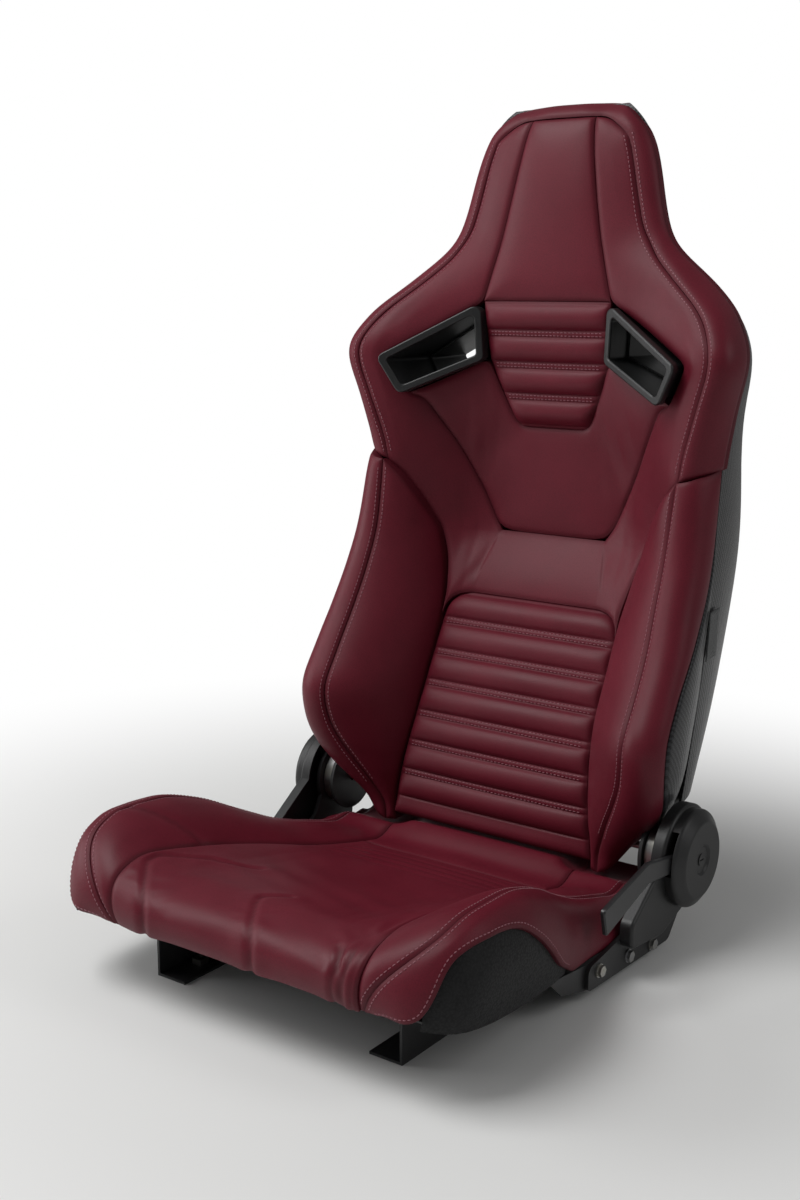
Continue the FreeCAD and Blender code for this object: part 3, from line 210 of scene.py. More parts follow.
def back_shape(s, w):
    """Upper backrest: s is 0 in the middle, 1 at the flat's end, 2 on the ridge, 3 at the shell's rim.
    Up it w is the height, and past the head's shoulder it runs on over a quarter circle to the rear."""
    z = np.minimum(w, HEAD_TOP)
    flat, rx, ry, ex, ey = np.moveaxis(back_table(z), -1, 0)
    front = front_line(z)[..., 0]
    a, b, c, d = pair(0 * flat, front), pair(flat, front), pair(rx, ry), pair(ex, ey)
    wing, tip = length_of(c - b), length_of(d - c)
    xy = section([a, b, c, d], [0 * flat, BACK_BOWS[0] * wing, BACK_BOWS[1] * tip], np.abs(s))
    start = HEAD_TOP - HEAD_ROLL
    turn = np.clip((w - start) / HEAD_ROLL, 0, math.pi / 2)
    beyond = np.maximum(0, w - start - HEAD_ROLL * math.pi / 2)
    share = np.clip(3 - np.abs(s), 0, 1)
    y = xy[..., 1] + share * (HEAD_ROLL * (1 - np.cos(turn)) + beyond)
    height = np.minimum(w, start) + HEAD_ROLL * np.sin(turn)
    return np.stack([np.sign(s) * xy[..., 0], y, height], -1)


def back(s, w):
    return softened(back_shape, s, w, 0.34, 12.0, -3, 3)


def bolster_shape(s, w):
    """Right side bolster: s is 0 at the seam, 1 on the ridge, 2 at the outer corner, 3 at the shell's rim.
    Up it w is the height."""
    sx, sy, rx, ry, ox, oy, ex, ey = np.moveaxis(bolster_table(w), -1, 0)
    a, b, c, d = pair(sx, sy), pair(rx, ry), pair(ox, oy), pair(ex, ey)
    rises = [share * length_of(q - p) for share, p, q in zip(BOLSTER_BOWS, (a, b, c), (b, c, d))]
    xy = section([a, b, c, d], rises, s)
    return np.stack([xy[..., 0], xy[..., 1], w + 0 * s], -1)


def bolster(s, w):
    return softened(bolster_shape, s, w, 0.22, 12.0, 0, 3)


def rib_face(s, w):
    """Flat front of the ribbed pads: s counts 50 mm across, w is the height, the depth is the middle's."""
    y = (front_line(w - 10)[..., 0] + 2 * front_line(w)[..., 0] + front_line(w + 10)[..., 0]) / 4
    return np.stack([50 * s, y + 0 * s, w + 0 * s], -1)


def cushion_shape(s, w):
    """Cushion: s is 0 in the middle, 1 at the dish's end, 2 on the ridge, 3 at the widest edge, 4 at the foot.
    Along it w is the depth, and in front of the nose it runs on down the front face."""
    y, width, ridge, middle, edge, foot = np.moveaxis(cushion_table(w), -1, 0)
    flat = np.minimum(width - DISH_IN, DISH_MOST)
    a, b, c = pair(0 * flat, middle), pair(flat, middle), pair(width - RIDGE_IN, ridge)
    d, e = pair(width, edge), pair(width - FOOT_IN, foot)
    dish, bulge = DISH_BOW * np.abs(ridge - middle) - 1, BULGE_BOW * np.abs(ridge - edge) + 2
    xz = section([a, b, c, d, e], [0 * flat, dish, bulge, 0 * flat], np.abs(s))
    return np.stack([np.sign(s) * xz[..., 0], y + 0 * s, xz[..., 1]], -1)


def cushion(s, w):
    return softened(cushion_shape, s, w, 0.34, 10.0, -4, 4)


def across_at(surface, x, w, low, high):
    """The s at which a surface has a given x at each w, by halving the interval."""
    x, w = np.asarray(x, float), np.asarray(w, float)
    a, b = np.full(x.shape, float(low)), np.full(x.shape, float(high))
    for _ in range(20):
        mid = (a + b) / 2
        left = surface(mid, w)[..., 0] < x
        a, b = np.where(left, mid, a), np.where(left, b, mid)
    return (a + b) / 2


class Edge:
    """A seam on a surface: straight runs between points, their corners eased over a share of its length."""

    def __init__(self, points, surface=None, low=-3, high=3, ease=0.0, knots=None):
        points = np.array(points, float)
        if knots is None:
            run = np.concatenate([[0], np.cumsum(np.linalg.norm(np.diff(points, axis=0), axis=1))])
            knots = run / run[-1]
        self.t = np.linspace(0, 1, 161)
        room = np.minimum(ease, np.minimum(self.t, 1 - self.t))
        total = 0.0
        for k, weight in zip(np.linspace(-1, 1, 7), (1, 2, 3, 4, 3, 2, 1)):
            at = self.t + k * room
            total = total + weight * np.stack([np.interp(at, knots, points[:, c]) for c in (0, 1)], -1)
        self.p = total / 16
        if surface is not None:
            self.p = np.stack([across_at(surface, self.p[:, 0], self.p[:, 1], low, high), self.p[:, 1]], -1)

    def __call__(self, t):
        return np.stack([np.interp(t, self.t, self.p[:, c]) for c in (0, 1)], -1)


def level(x, w, surface=None):
    """The straight edge across the middle from -x to x."""
    return Edge([(-x, w), (x, w)], surface)


def between_edges(low, high, start, end, u, v):
    """A Coons patch: the blend of two opposite edges, plus that of the other two, less that of the corners."""
    U, V = u[..., None], v[..., None]
    corners = ((1 - U) * (1 - V) * low(0 * u) + U * (1 - V) * low(0 * u + 1)
               + (1 - U) * V * high(0 * u) + U * V * high(0 * u + 1))
    return (1 - V) * low(u) + V * high(u) + (1 - U) * start(v) + U * end(v) - corners


def steps(length, count):
    """Fractions of a length: close together at both ends, where the seams are, and even between."""
    ends = np.array(EDGE_STEPS) * min(1.0, length / (5 * EDGE_STEPS[-1])) / length
    return np.concatenate([[0], ends[:-1], np.linspace(ends[-1], 1 - ends[-1], count), 1 - ends[-2::-1], [1]])


def patch(surface, low, high, start, end, pitch=8.0, rows=None, cols=None):
    """A grid over the patch between four edges, spaced along each row by the surface's own length."""
    t = np.linspace(0, 1, 61)
    u, v = np.meshgrid(t, t)
    d = between_edges(low, high, start, end, u, v)
    p = surface(d[..., 0], d[..., 1])
    tall = np.median(length_of(np.diff(p, axis=0)).sum(0))
    wide = np.median(length_of(np.diff(p, axis=1)).sum(1))
    rows = steps(tall, max(3, int(tall / pitch))) if rows is None else rows
    cols = max(3, int(wide / pitch)) if cols is None else cols
    u, v = np.meshgrid(t, rows)
    d = between_edges(low, high, start, end, u, v)
    p = surface(d[..., 0], d[..., 1])
    run = length_of(np.diff(p, axis=1)).cumsum(1)
    run = np.hstack([np.zeros((len(rows), 1)), run])
    u = np.array([np.interp(steps(r[-1], cols), r / r[-1], t) for r in run])
    v = np.repeat(rows[:, None], u.shape[1], 1)
    d = between_edges(low, high, start, end, u, v)
    s, w = d[..., 0], d[..., 1]
    return grid_sheet(surface(s, w), facing(surface, s, w))


def facing(surface, s, w):
    """The outward normal of a surface, by central differences."""
    across, up = surface(s + 0.03, w) - surface(s - 0.03, w), surface(s, w + 2.0) - surface(s, w - 2.0)
    return unit(np.cross(across, up))


def grid_sheet(p, n):
    """A grid of points with its normals, or with one for all, as a sheet: points, normals and quads."""
    k = np.arange(p.shape[0] * p.shape[1]).reshape(p.shape[:2])
    quads = np.stack([k[:-1, :-1], k[:-1, 1:], k[1:, 1:], k[1:, :-1]], -1).reshape(-1, 4)
    return p.reshape(-1, 3), np.broadcast_to(n, p.shape).reshape(-1, 3), quads


def welded(sheets):
    """Several sheets as one, their common points made one."""
    p = np.concatenate([a[0] for a in sheets])
    n = np.concatenate([a[1] for a in sheets])
    shift = np.cumsum([0] + [len(a[0]) for a in sheets[:-1]])
    quads = np.concatenate([a[2] + k for a, k in zip(sheets, shift)])
    cell = np.round(p / WELD).astype(int)
    _, first, back_to = np.unique(cell, axis=0, return_index=True, return_inverse=True)
    back_to = back_to.reshape(-1)
    total = np.zeros((len(first), 3))
    np.add.at(total, back_to, n)
    return p[first], unit(total), back_to[quads]


def on_side(sheet, k):
    """A sheet on the right (1), or mirrored on the left (-1): x changes sign and the faces turn over."""
    return sheet if k > 0 else (sheet[0] * OTHER_SIDE, sheet[1] * OTHER_SIDE, sheet[2][:, ::-1])


def rim_of(quads):
    """The edges that only one face has, in that face's direction."""
    edges = np.concatenate([quads[:, [0, 1]], quads[:, [1, 2]], quads[:, [2, 3]], quads[:, [3, 0]]])
    edges = edges[edges[:, 0] != edges[:, 1]]
    _, index, count = np.unique(np.sort(edges, 1), axis=0, return_index=True, return_counts=True)
    return edges[index[count == 1]]


def distance_to(p, a, b):
    """Each point's distance to the nearest of some segments."""
    best = np.full(len(p), 1e9)
    d = b - a
    size = np.maximum((d * d).sum(1), 1e-12)
    for k in range(0, len(a), 64):
        q = p[:, None] - a[None, k:k + 64]
        t = np.clip((q * d[None, k:k + 64]).sum(-1) / size[None, k:k + 64], 0, 1)
        gap = length_of(q - t[..., None] * d[None, k:k + 64])
        best = np.minimum(best, gap.min(1))
    return best


def soft_noise(p, size, seed):
    """Smooth noise from -1 to 1: a mean of sine waves in seeded directions, about one bump to each size."""
    rng = np.random.RandomState(seed)
    total = 0.0
    for _ in range(9):
        way = rng.normal(size=3)
        way *= rng.uniform(0.6, 1.5) * 2 * math.pi / (2 * size) / np.linalg.norm(way)
        total = total + np.sin(p @ way + rng.uniform(0, 6.3))
    return total / 4.2


def make_mesh(name, points, faces, seam=None):
    """A smooth-shaded mesh object at the origin from points in millimetres."""
    mesh = bpy.data.meshes.new(name)
    mesh.from_pydata((points * MM).tolist(), [], [tuple(dict.fromkeys(face)) for face in faces])
    mesh.validate(clean_customdata=False)
    mesh.polygons.foreach_set("use_smooth", np.ones(len(mesh.polygons), bool))
    if seam is not None:
        layer = mesh.attributes.new("seam", "FLOAT", "POINT")
        layer.data.foreach_set("value", seam.astype(np.float32))
    obj = bpy.data.objects.new(name, mesh)
    bpy.context.collection.objects.link(obj)
    return obj


def pad(name, body, sheets, crown=4.0, soft=14.0, tuck=2.2, narrow=3.2, depth=16.0, extra=None, room=None,
        swell=None, rear=None, finish="leatherette_cover"):
    """A sewn pad as a closed form: its front rises from the seams to its crown and dips in the seams.
    rise = crown (1 - exp(-d / soft)) - tuck exp(-(d / narrow)^2), where d is the distance to the nearest seam.
    extra adds rise and creases, with a mask for the creases' painted shade, room moves points clear of other
    pieces, rear is the way to its back."""
    p, n, quads = welded(sheets)
    rim = rim_of(quads)
    d = distance_to(p, p[rim[:, 0]], p[rim[:, 1]])
    rise = crown * (1 - np.exp(-d / soft)) - tuck * bell(d, narrow)
    rise = rise + UNEVEN * (1 - np.exp(-d / 12)) * soft_noise(p, UNEVEN_SIZE, len(name))
    crease = 0.0 * d
    if extra is not None:
        more, crease = extra(p, d)
        rise = rise + more
    inward = -n if rear is None else np.tile(np.array(rear, float), (len(p), 1))
    border = np.unique(rim)
    front, behind = p + n * rise[:, None], p + inward * depth
    if room is not None:
        front, behind = room(front), room(behind)
    ring = front[border] + inward[border] * RING_DEPTH
    if room is not None:
        ring = room(ring)
    count, far = len(p), len(p) + len(border)
    place = np.full(count, -1)
    place[border] = np.arange(count, far)
    a, b = rim[:, 0], rim[:, 1]
    walls = [np.stack([b, a, place[a], place[b]], 1), np.stack([place[b], place[a], far + a, far + b], 1)]
    # The seam attribute, highest at the seams, in the creases and on the ring and back: the leather is painted
    # darker there as painted shade, and made duller.
    seam = np.concatenate([np.maximum(np.exp(-d / 5), crease), np.ones(far)])
    obj = make_mesh(name, np.concatenate([front, ring, behind]),
                    np.concatenate([quads, *walls, far + quads[:, ::-1]]).tolist(), seam)
    if swell is not None:
        free = np.concatenate([d > 1.0, np.zeros(far, bool)])
        swell_up(obj, free, *swell)
    turn = obj.modifiers.new("fine", "SUBSURF")
    turn.levels = turn.render_levels = 1
    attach(obj, body)
    obj.data.materials.append(bpy.data.materials[finish])
    return obj


def places(mesh):
    """The places of a mesh's points, as one row of numbers."""
    co = np.empty(len(mesh.vertices) * 3, np.float32)
    mesh.vertices.foreach_get("co", co)
    return co


def swell_up(obj, free, pressure, cap):
    """Lets a closed pad fill like a balloon, its seams held, then keeps each point near to where it was:
    a move of length m is shortened to cap tanh(m / cap)."""
    scene = bpy.context.scene
    mesh = obj.data
    start = places(mesh)
    group = obj.vertex_groups.new(name="held")
    group.add(np.flatnonzero(~free).tolist(), 1.0, "REPLACE")
    balloon = obj.modifiers.new("swell", "CLOTH")
    for key, value in (("vertex_group_mass", "held"), ("use_pressure", True),
                       ("uniform_pressure_force", pressure), ("quality", 5), ("tension_stiffness", 25),
                       ("compression_stiffness", 25), ("shear_stiffness", 15), ("bending_stiffness", 2.0)):
        setattr(balloon.settings, key, value)
    balloon.settings.effector_weights.gravity = 0
    balloon.collision_settings.use_collision = False
    balloon.point_cache.frame_start, balloon.point_cache.frame_end = 1, SWELL_FRAMES
    for number in range(1, SWELL_FRAMES + 1):
        scene.frame_set(number)
    end = places(obj.evaluated_get(bpy.context.evaluated_depsgraph_get()).data)
    obj.modifiers.remove(balloon)
    obj.vertex_groups.remove(group)
    move = (end - start).reshape(-1, 3)
    size = np.linalg.norm(move, axis=1, keepdims=True)
    limit = cap * MM
    move *= np.where(size > 0, limit * np.tanh(size / limit) / np.maximum(size, 1e-9), 0)
    mesh.vertices.foreach_set("co", (start.reshape(-1, 3) + move).ravel())
    mesh.update()
    scene.frame_set(1)


class Val:
    """A number or socket in a node tree whose arithmetic adds Math nodes."""

    def __init__(self, maker, socket):
        self.maker, self.socket = maker, socket

    def op(self, kind, *others):
        node = self.maker.node("ShaderNodeMath", {"operation": kind}, {i: v for i, v in enumerate(others)})
        return Val(self.maker, node.outputs[0])

    def __add__(self, other): return self.op("ADD", self, other)
    def __radd__(self, other): return self.op("ADD", other, self)
    def __sub__(self, other): return self.op("SUBTRACT", self, other)
    def __rsub__(self, other): return self.op("SUBTRACT", other, self)
    def __mul__(self, other): return self.op("MULTIPLY", self, other)
    def __rmul__(self, other): return self.op("MULTIPLY", other, self)
    def __truediv__(self, other): return self.op("DIVIDE", self, other)
    def __pow__(self, other): return self.op("POWER", self, other)
    def __gt__(self, other): return self.op("GREATER_THAN", self, other)
    def sine(self): return self.op("SINE", self)
    def cosine(self): return self.op("COSINE", self)
    def abs(self): return self.op("ABSOLUTE", self)
    def floor(self): return self.op("FLOOR", self)
    def fraction(self): return self.op("FRACT", self)

    def eased(self, low, high, to_low=0.0, to_high=1.0):
        """Smoothly from one value to another while this one goes from low to high."""
        ends = {"Value": self, "From Min": low, "From Max": high, "To Min": to_low, "To Max": to_high}
        node = self.maker.node("ShaderNodeMapRange", {"interpolation_type": "SMOOTHSTEP"}, ends)
        return Val(self.maker, node.outputs[0])


class Finish:
    """One material while its nodes are laid."""

    def __init__(self, name, roughness=0.5, **fixed):
        self.material = bpy.data.materials.new(name)
        self.material.use_nodes = True
        self.tree = self.material.node_tree
        self.tree.nodes.clear()
        self.out = self.node("ShaderNodeOutputMaterial")
        self.shader = self.node("ShaderNodeBsdfPrincipled", {}, {"Roughness": roughness, **fixed})
        self.tree.links.new(self.shader.outputs[0], self.out.inputs[0])
        self.place = self.node("ShaderNodeTexCoord").outputs["Object"]
        self.bumps = None

    def put(self, socket, value):
        """Links a value or a socket to a socket, or sets a number or colour there."""
        if isinstance(value, Val):
            value = value.socket
        if isinstance(value, bpy.types.NodeSocket):
            self.tree.links.new(value, socket)
        else:
            socket.default_value = value

    def node(self, kind, settings=None, inputs=None):
        made = self.tree.nodes.new(kind)
        for key, value in (settings or {}).items():
            setattr(made, key, value)
        for key, value in (inputs or {}).items():
            self.put(made.inputs[key], value)
        return made

    def axes(self):
        """The three coordinates of a point, in metres."""
        split = self.node("ShaderNodeSeparateXYZ", {}, {0: self.place})
        return [Val(self, split.outputs[k]) for k in range(3)]

    def noise(self, size, detail=2.0, rough=0.5):
        """Cloud noise from 0 to 1 whose lumps are about size millimetres."""
        node = self.node("ShaderNodeTexNoise", {}, {"Vector": self.place, "Scale": 1000 / size,
                                                     "Detail": detail, "Roughness": rough})
        return Val(self, node.outputs[0])

    def cells(self, size, feature="F1", place=None):
        """Distance to the nearest of scattered points about size millimetres apart."""
        node = self.node("ShaderNodeTexVoronoi", {"feature": feature},
                         {"Vector": place or self.place, "Scale": 1000 / size})
        return Val(self, node.outputs["Distance"])

    def mixed(self, share, first, second):
        """Two colours mixed by a share."""
        def full(value):
            return (*value, 1.0) if not isinstance(value, bpy.types.NodeSocket) and len(value) == 3 else value
        node = self.node("ShaderNodeMix", {"data_type": "RGBA"}, {0: share, 6: full(first), 7: full(second)})
        return node.outputs[2]

    def tones(self, share, colour, first, second):
        """One colour from darker to lighter, or back, by a share."""
        return self.mixed(share, shade(colour, first), shade(colour, second))

    def attribute(self, name):
        return Val(self, self.node("ShaderNodeAttribute", {"attribute_name": name}).outputs["Fac"])

    def bump(self, height, depth, strength=1.0):
        """Adds a height in 0 to 1 as relief of so many millimetres."""
        inputs = {"Strength": strength, "Distance": depth * MM, "Height": height}
        if self.bumps is not None:
            inputs["Normal"] = self.bumps
        self.bumps = self.node("ShaderNodeBump", {}, inputs).outputs[0]

    def done(self, colour, roughness=None, metallic=None, coat=None):
        for key, value in (("Base Color", colour), ("Roughness", roughness), ("Metallic", metallic),
                           ("Coat Weight", coat), ("Normal", self.bumps)):
            if value is not None:
                self.put(self.shader.inputs[key], value)
        return self.material


def shade(colour, factor):
    return tuple(min(1.0, c * factor) for c in colour)


def colour_field(name, description, default):
    return FloatVectorProperty(name=name, description=description, subtype="COLOR", size=3, min=0, max=1,
                               default=default)


def length_field(name, description, default, low, high):
    return FloatProperty(name=name, description=description, default=default, unit="LENGTH", min=low, max=high)


def power_field(name, description, default):
    return FloatProperty(name=name, description=description, default=default, min=0)


class SeatLeather(PropertyGroup):
    colour: colour_field("Leather", "Colour of the cover", (0.118, 0.0078, 0.018))
    thread: colour_field("Thread", "Colour of the tone-on-tone stitching", (0.27, 0.085, 0.11))
    grain: length_field("Grain", "Size of the leather's pebbles", 0.0014, 0.0005, 0.005)
    gloss: FloatProperty(name="Roughness", description="Roughness of the cover's satin surface", default=0.42,
                         subtype="FACTOR", min=0.1, max=1)


class SeatPadding(PropertyGroup):
    rib: length_field("Rib", "How far a sewn roll stands out", 0.007, 0, 0.015)


class SeatStitching(PropertyGroup):
    length: length_field("Stitch", "Length of one stitch", 0.0036, 0.002, 0.008)
    pitch: length_field("Pitch", "From one stitch to the next", 0.0052, 0.003, 0.012)
    gauge: length_field("Gauge", "From a seam to the stitch row beside it", 0.0048, 0.002, 0.01)
    thick: length_field("Thread", "Thickness of the thread", 0.0011, 0.0004, 0.002)


class SeatStudio(PropertyGroup):
    floor: colour_field("Floor", "Colour of the floor near the seat", (0.8, 0.8, 0.79))
    key: power_field("Key", "Power of the big lamp at the front left, high over the seat", 58.0)
    fill: power_field("Fill", "Power of the low lamp at the front left", 32.0)
    rim: power_field("Rim", "Power of the lamp behind on the right", 9.0)
    world: power_field("World", "Strength of the even light", 0.2)


class SeatDress(PropertyGroup):
    leather: PointerProperty(type=SeatLeather)
    padding: PointerProperty(type=SeatPadding)
    stitching: PointerProperty(type=SeatStitching)
    studio: PointerProperty(type=SeatStudio)


def lay_leather(name, colour, gloss, grain):
    """Satin synthetic leather: pebble grain with fine pores, cloudy tone, duller in the seams, and painted
    darker in the seams and creases as painted shade.
    """
    f = Finish(name, gloss, **{"Specular IOR Level": 0.24})
    size = grain / MM
    drift = f.node("ShaderNodeTexNoise", {}, {"Vector": f.place, "Scale": 420.0}).outputs[1]
    warp = f.node("ShaderNodeVectorMath", {"operation": "MULTIPLY_ADD"},
                  {0: drift, 1: (0.0009, 0.0009, 0.0009), 2: f.place}).outputs[0]
    pebble, pores = f.cells(size, place=warp), f.cells(size * 0.42, place=warp)
    cloud, fine, seam = f.noise(90), f.noise(14, 3.0), f.attribute("seam")
    tone = (cloud - 0.5) * 0.5 + (fine - 0.5) * 0.22
    base = f.tones(tone.eased(-0.25, 0.25), colour, 0.86, 1.14)
    grained = f.mixed(pebble.eased(0.35, 0.75, 0.0, 0.3), base, shade(colour, 0.6))
    # Painted shade: the colour goes darker towards the seams and into the creases, by the seam attribute.
    seam_shaded = f.mixed(seam.eased(0.25, 1.0, 0.0, 0.55), grained, shade(colour, 0.42))
    f.bump(1 - pebble.eased(0.1, 0.85), 0.055, 0.5)
    f.bump(pores.eased(0.0, 0.6), 0.02, 0.35)
    f.bump(fine, 0.12, 0.25)
    rough = gloss + (cloud - 0.5) * 0.16 + pebble * 0.07 + seam * 0.12
    return f.done(colour=seam_shaded, roughness=rough)


def lay_thread(name, colour):
    """Twisted sewing thread: fine slanted strands."""
    f = Finish(name, 0.5, **{"Sheen Weight": 0.2})
    x, y, z = f.axes()
    strand = ((x + y + z) * 5200).sine()
    f.bump(strand, 0.06, 0.6)
    return f.done(colour=f.tones(strand.eased(-1, 1), colour, 0.8, 1.15),
                  roughness=0.46 + f.noise(3) * 0.12)


def lay_twill(name, colour):
    """Clear-coated carbon twill, two over and two under: each tow's sheen follows the way that it runs, by its
    relief and roughness, and the tows that lie over are painted lighter as a painted sheen.
    """
    f = Finish(name, 0.3, **{"Coat Roughness": 0.16, "Coat IOR": 1.3, "Specular IOR Level": 0.15})
    x, y, z = f.axes()
    tow = 2.1 * MM
    a, b = (x.abs() - y) / tow, z / tow
    over = ((a.floor() - b.floor()) / 4).fraction() > 0.49
    along_a, along_b = (((k.fraction() - 0.5) * math.pi).cosine() for k in (a, b))
    height = over * along_b + (1 - over) * along_a
    fibre = over * (b * 50).sine() + (1 - over) * (a * 50).sine()
    f.bump(height + fibre * 0.05, 0.25, 0.5)
    # Painted sheen: the tows that lie over are painted 2.6 times lighter.
    lit = f.tones(over, colour, 1.0, 2.6)
    smudge = f.noise(70)
    return f.done(colour=lit, roughness=0.34 - over * 0.08 + smudge * 0.06, coat=0.3 + smudge * 0.08)


def lay_plastic(name, colour, roughness, grain, depth):
    """Moulded plastic: a spark-eroded grain, a cloudy gloss and faint scuffs on it."""
    f = Finish(name, roughness, **{"Specular IOR Level": 0.45})
    texture = f.cells(grain, "SMOOTH_F1")
    cloud = f.noise(45, 3.0)
    scuff = f.noise(6, 6.0, 0.7).eased(0.6, 0.75)
    f.bump(texture.eased(0.1, 0.9), depth, 0.6)
    f.bump(f.noise(2.2, 3.0), depth * 0.6, 0.4)
    tone = f.tones(cloud.eased(0.3, 0.7), colour, 0.85, 1.25)
    return f.done(colour=f.mixed(scuff * 0.35, tone, shade(colour, 2.2)),
                  roughness=roughness + (cloud - 0.5) * 0.14 + scuff * 0.06)


def lay_powder(name, colour, roughness, peel):
    """Powder coat: orange peel, with a slightly mottled gloss."""
    f = Finish(name, roughness, **{"Specular IOR Level": 0.5})
    skin = f.noise(peel, 2.0, 0.4)
    cloud = f.noise(60, 3.0)
    f.bump(skin, 0.06, 0.35)
    f.bump(f.cells(0.9), 0.015, 0.3)
    return f.done(colour=f.tones(cloud, colour, 0.8, 1.3),
                  roughness=roughness + (cloud - 0.5) * 0.12 + skin * 0.05)


def lay_zinc(name, colour, roughness):
    """Zinc plate: fine turning marks under a cloudy passivation with a faint warm and blue cast."""
    f = Finish(name, roughness)
    _, y, z = f.axes()
    turn = (((y - PIVOT_Y * MM) ** 2.0 + (z - PIVOT_Z * MM) ** 2.0) ** 0.5 * 9000).sine()
    cloud = f.noise(18, 4.0)
    f.bump(turn, 0.012, 0.35)
    cast = f.mixed(cloud.eased(0.35, 0.65), shade(colour, 0.82), (0.47, 0.46, 0.41))
    return f.done(colour=cast, roughness=roughness + (cloud - 0.5) * 0.25, metallic=1.0)


def lay_weave(name, colour, thread, u, v):
    """Plain woven webbing: warp and weft pass over each other square by square."""
    f = Finish(name, 0.75, **{"Sheen Weight": 0.25, "Sheen Roughness": 0.5})
    axis = dict(zip("xyz", f.axes()))
    a, b = axis[u] / (thread * MM), axis[v] / (thread * MM)
    over = ((a.floor() + b.floor()) / 2).fraction().abs() > 0.25
    wave = over * (a * math.pi).sine().abs() + (1 - over) * (b * math.pi).sine().abs()
    f.bump(wave, 0.2, 0.7)
    tone = f.tones(wave, colour, 0.5, 1.4)
    return f.done(colour=f.mixed(f.noise(25) * 0.4, tone, shade(colour, 1.9)), roughness=0.7 + wave * 0.1)


def lay_vinyl(name, colour):
    """Embossed vinyl: coarse pebbles, duller between them."""
    f = Finish(name, 0.5, **{"Specular IOR Level": 0.2})
    pebble = f.cells(2.4)
    f.bump(1 - pebble.eased(0.1, 0.8), 0.2, 0.7)
    f.bump(f.noise(9, 3.0), 0.3, 0.3)
    return f.done(colour=f.tones(pebble, colour, 1.3, 0.6),
                  roughness=0.46 + pebble * 0.2 + f.noise(60) * 0.08)


class SEAT_OT_finishes(Operator):
    """Lays every finish and puts it on the carried-over hard parts"""
    bl_idname = "seat.finishes"
    bl_label = "Finishes"

    def execute(self, context):
        leather = context.scene.seat_dress.leather
        cover = lay_leather("leatherette_cover", tuple(leather.colour), leather.gloss, leather.grain)
        lay_thread("thread", tuple(leather.thread))
        by_slot = {
            "leatherette": cover,
            "shell_laminate": lay_twill("shell_laminate_coated", (0.012, 0.012, 0.013)),
            "moulded_cover": lay_plastic("moulded_cover_grained", (0.012, 0.012, 0.0125), 0.42, 1.1, 0.05),
            "bezel_plastic": lay_plastic("bezel_plastic_satin", (0.014, 0.0145, 0.015), 0.36, 0.7, 0.02),
            "lever_paint": lay_powder("lever_paint_satin", (0.016, 0.016, 0.017), 0.3, 4.0),
            "black_steel": lay_powder("black_steel_coated", (0.016, 0.016, 0.017), 0.42, 3.0),
            "zinc_steel": lay_zinc("zinc_steel_plated", (0.5, 0.5, 0.51), 0.34),
            "webbing": lay_weave("webbing_woven", (0.02, 0.02, 0.022), 1.1, "x", "y"),
            "skirt_fabric": lay_vinyl("skirt_vinyl", (0.012, 0.012, 0.0125)),
            "tag_fabric": lay_weave("tag_woven", (0.035, 0.037, 0.037), 0.6, "y", "z"),
        }
        for row in frame["record"]["subparts"]:
            obj = frame["nodes"][row["node"]]
            obj.data.materials.clear()
            obj.data.materials.append(by_slot[row["material_slot"]])
        return {"FINISHED"}


def ridge_points(heights):
    """Points of the wing's stitched ridge at some heights, as x and height."""
    heights = np.array(heights, float)
    return list(zip(back(0 * heights + 2.0, heights)[:, 0], heights))


def flip(points):
    """Points with x changed in sign."""
    return [(-x, z) for x, z in points]


# Seams as x and height: beside the head's panel, beside the middle panel, over a bolster; heights of the ridge
HEAD_SEAM = [(88, HEAD_LOW), (80, 745), (68, 790), (59, 835), (50, 885), (43, BAND_W)]
PANEL_SEAM = [(74, 430), (84, 444), (106, 490), (133, 544), (163, 596), (180, 601)]
BOLSTER_TOP = [(146, 433), (166, 469), (186, 501), (205, 518)]
RIDGE_HEIGHTS = [518, 545, 575, 605, 635, 655, 675, 695, 715, 740, 765, 800, 840, 880, 905]
# Where the leather of a bolster's side ends and the shell begins, in the bolster surface's own coordinates
SHELL_LIP = [(2.35, 142), (2.15, 165), (2.03, 200), (2.03, 250), (2.12, 300), (2.35, 345), (2.68, 388),
             (2.9, 432), (3.0, 478), (3.0, 533)]
# Round the upper corner of the lower ribbed pad, up and inwards
PAD_TOP = [(124, 325), (121, 338), (114, 347), (104, 352), (92, 354)]


class SEAT_OT_headrest(Operator):
    """Sews the tapering middle panel of the headrest"""
    bl_idname = "seat.headrest"
    bl_label = "Headrest panel"

    def execute(self, context):
        low = level(88, HEAD_LOW, back)
        high = level(43, BAND_W, back)
        left, right = Edge(flip(HEAD_SEAM), back, ease=0.1), Edge(HEAD_SEAM, back, ease=0.1)
        piece = pad("headrest_cover", "backrest", [patch(back, low, high, left, right)], crown=3.5, soft=18,
                    swell=(3.0, 3.0))
        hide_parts("headrest_pad")
        return {"FINISHED"}


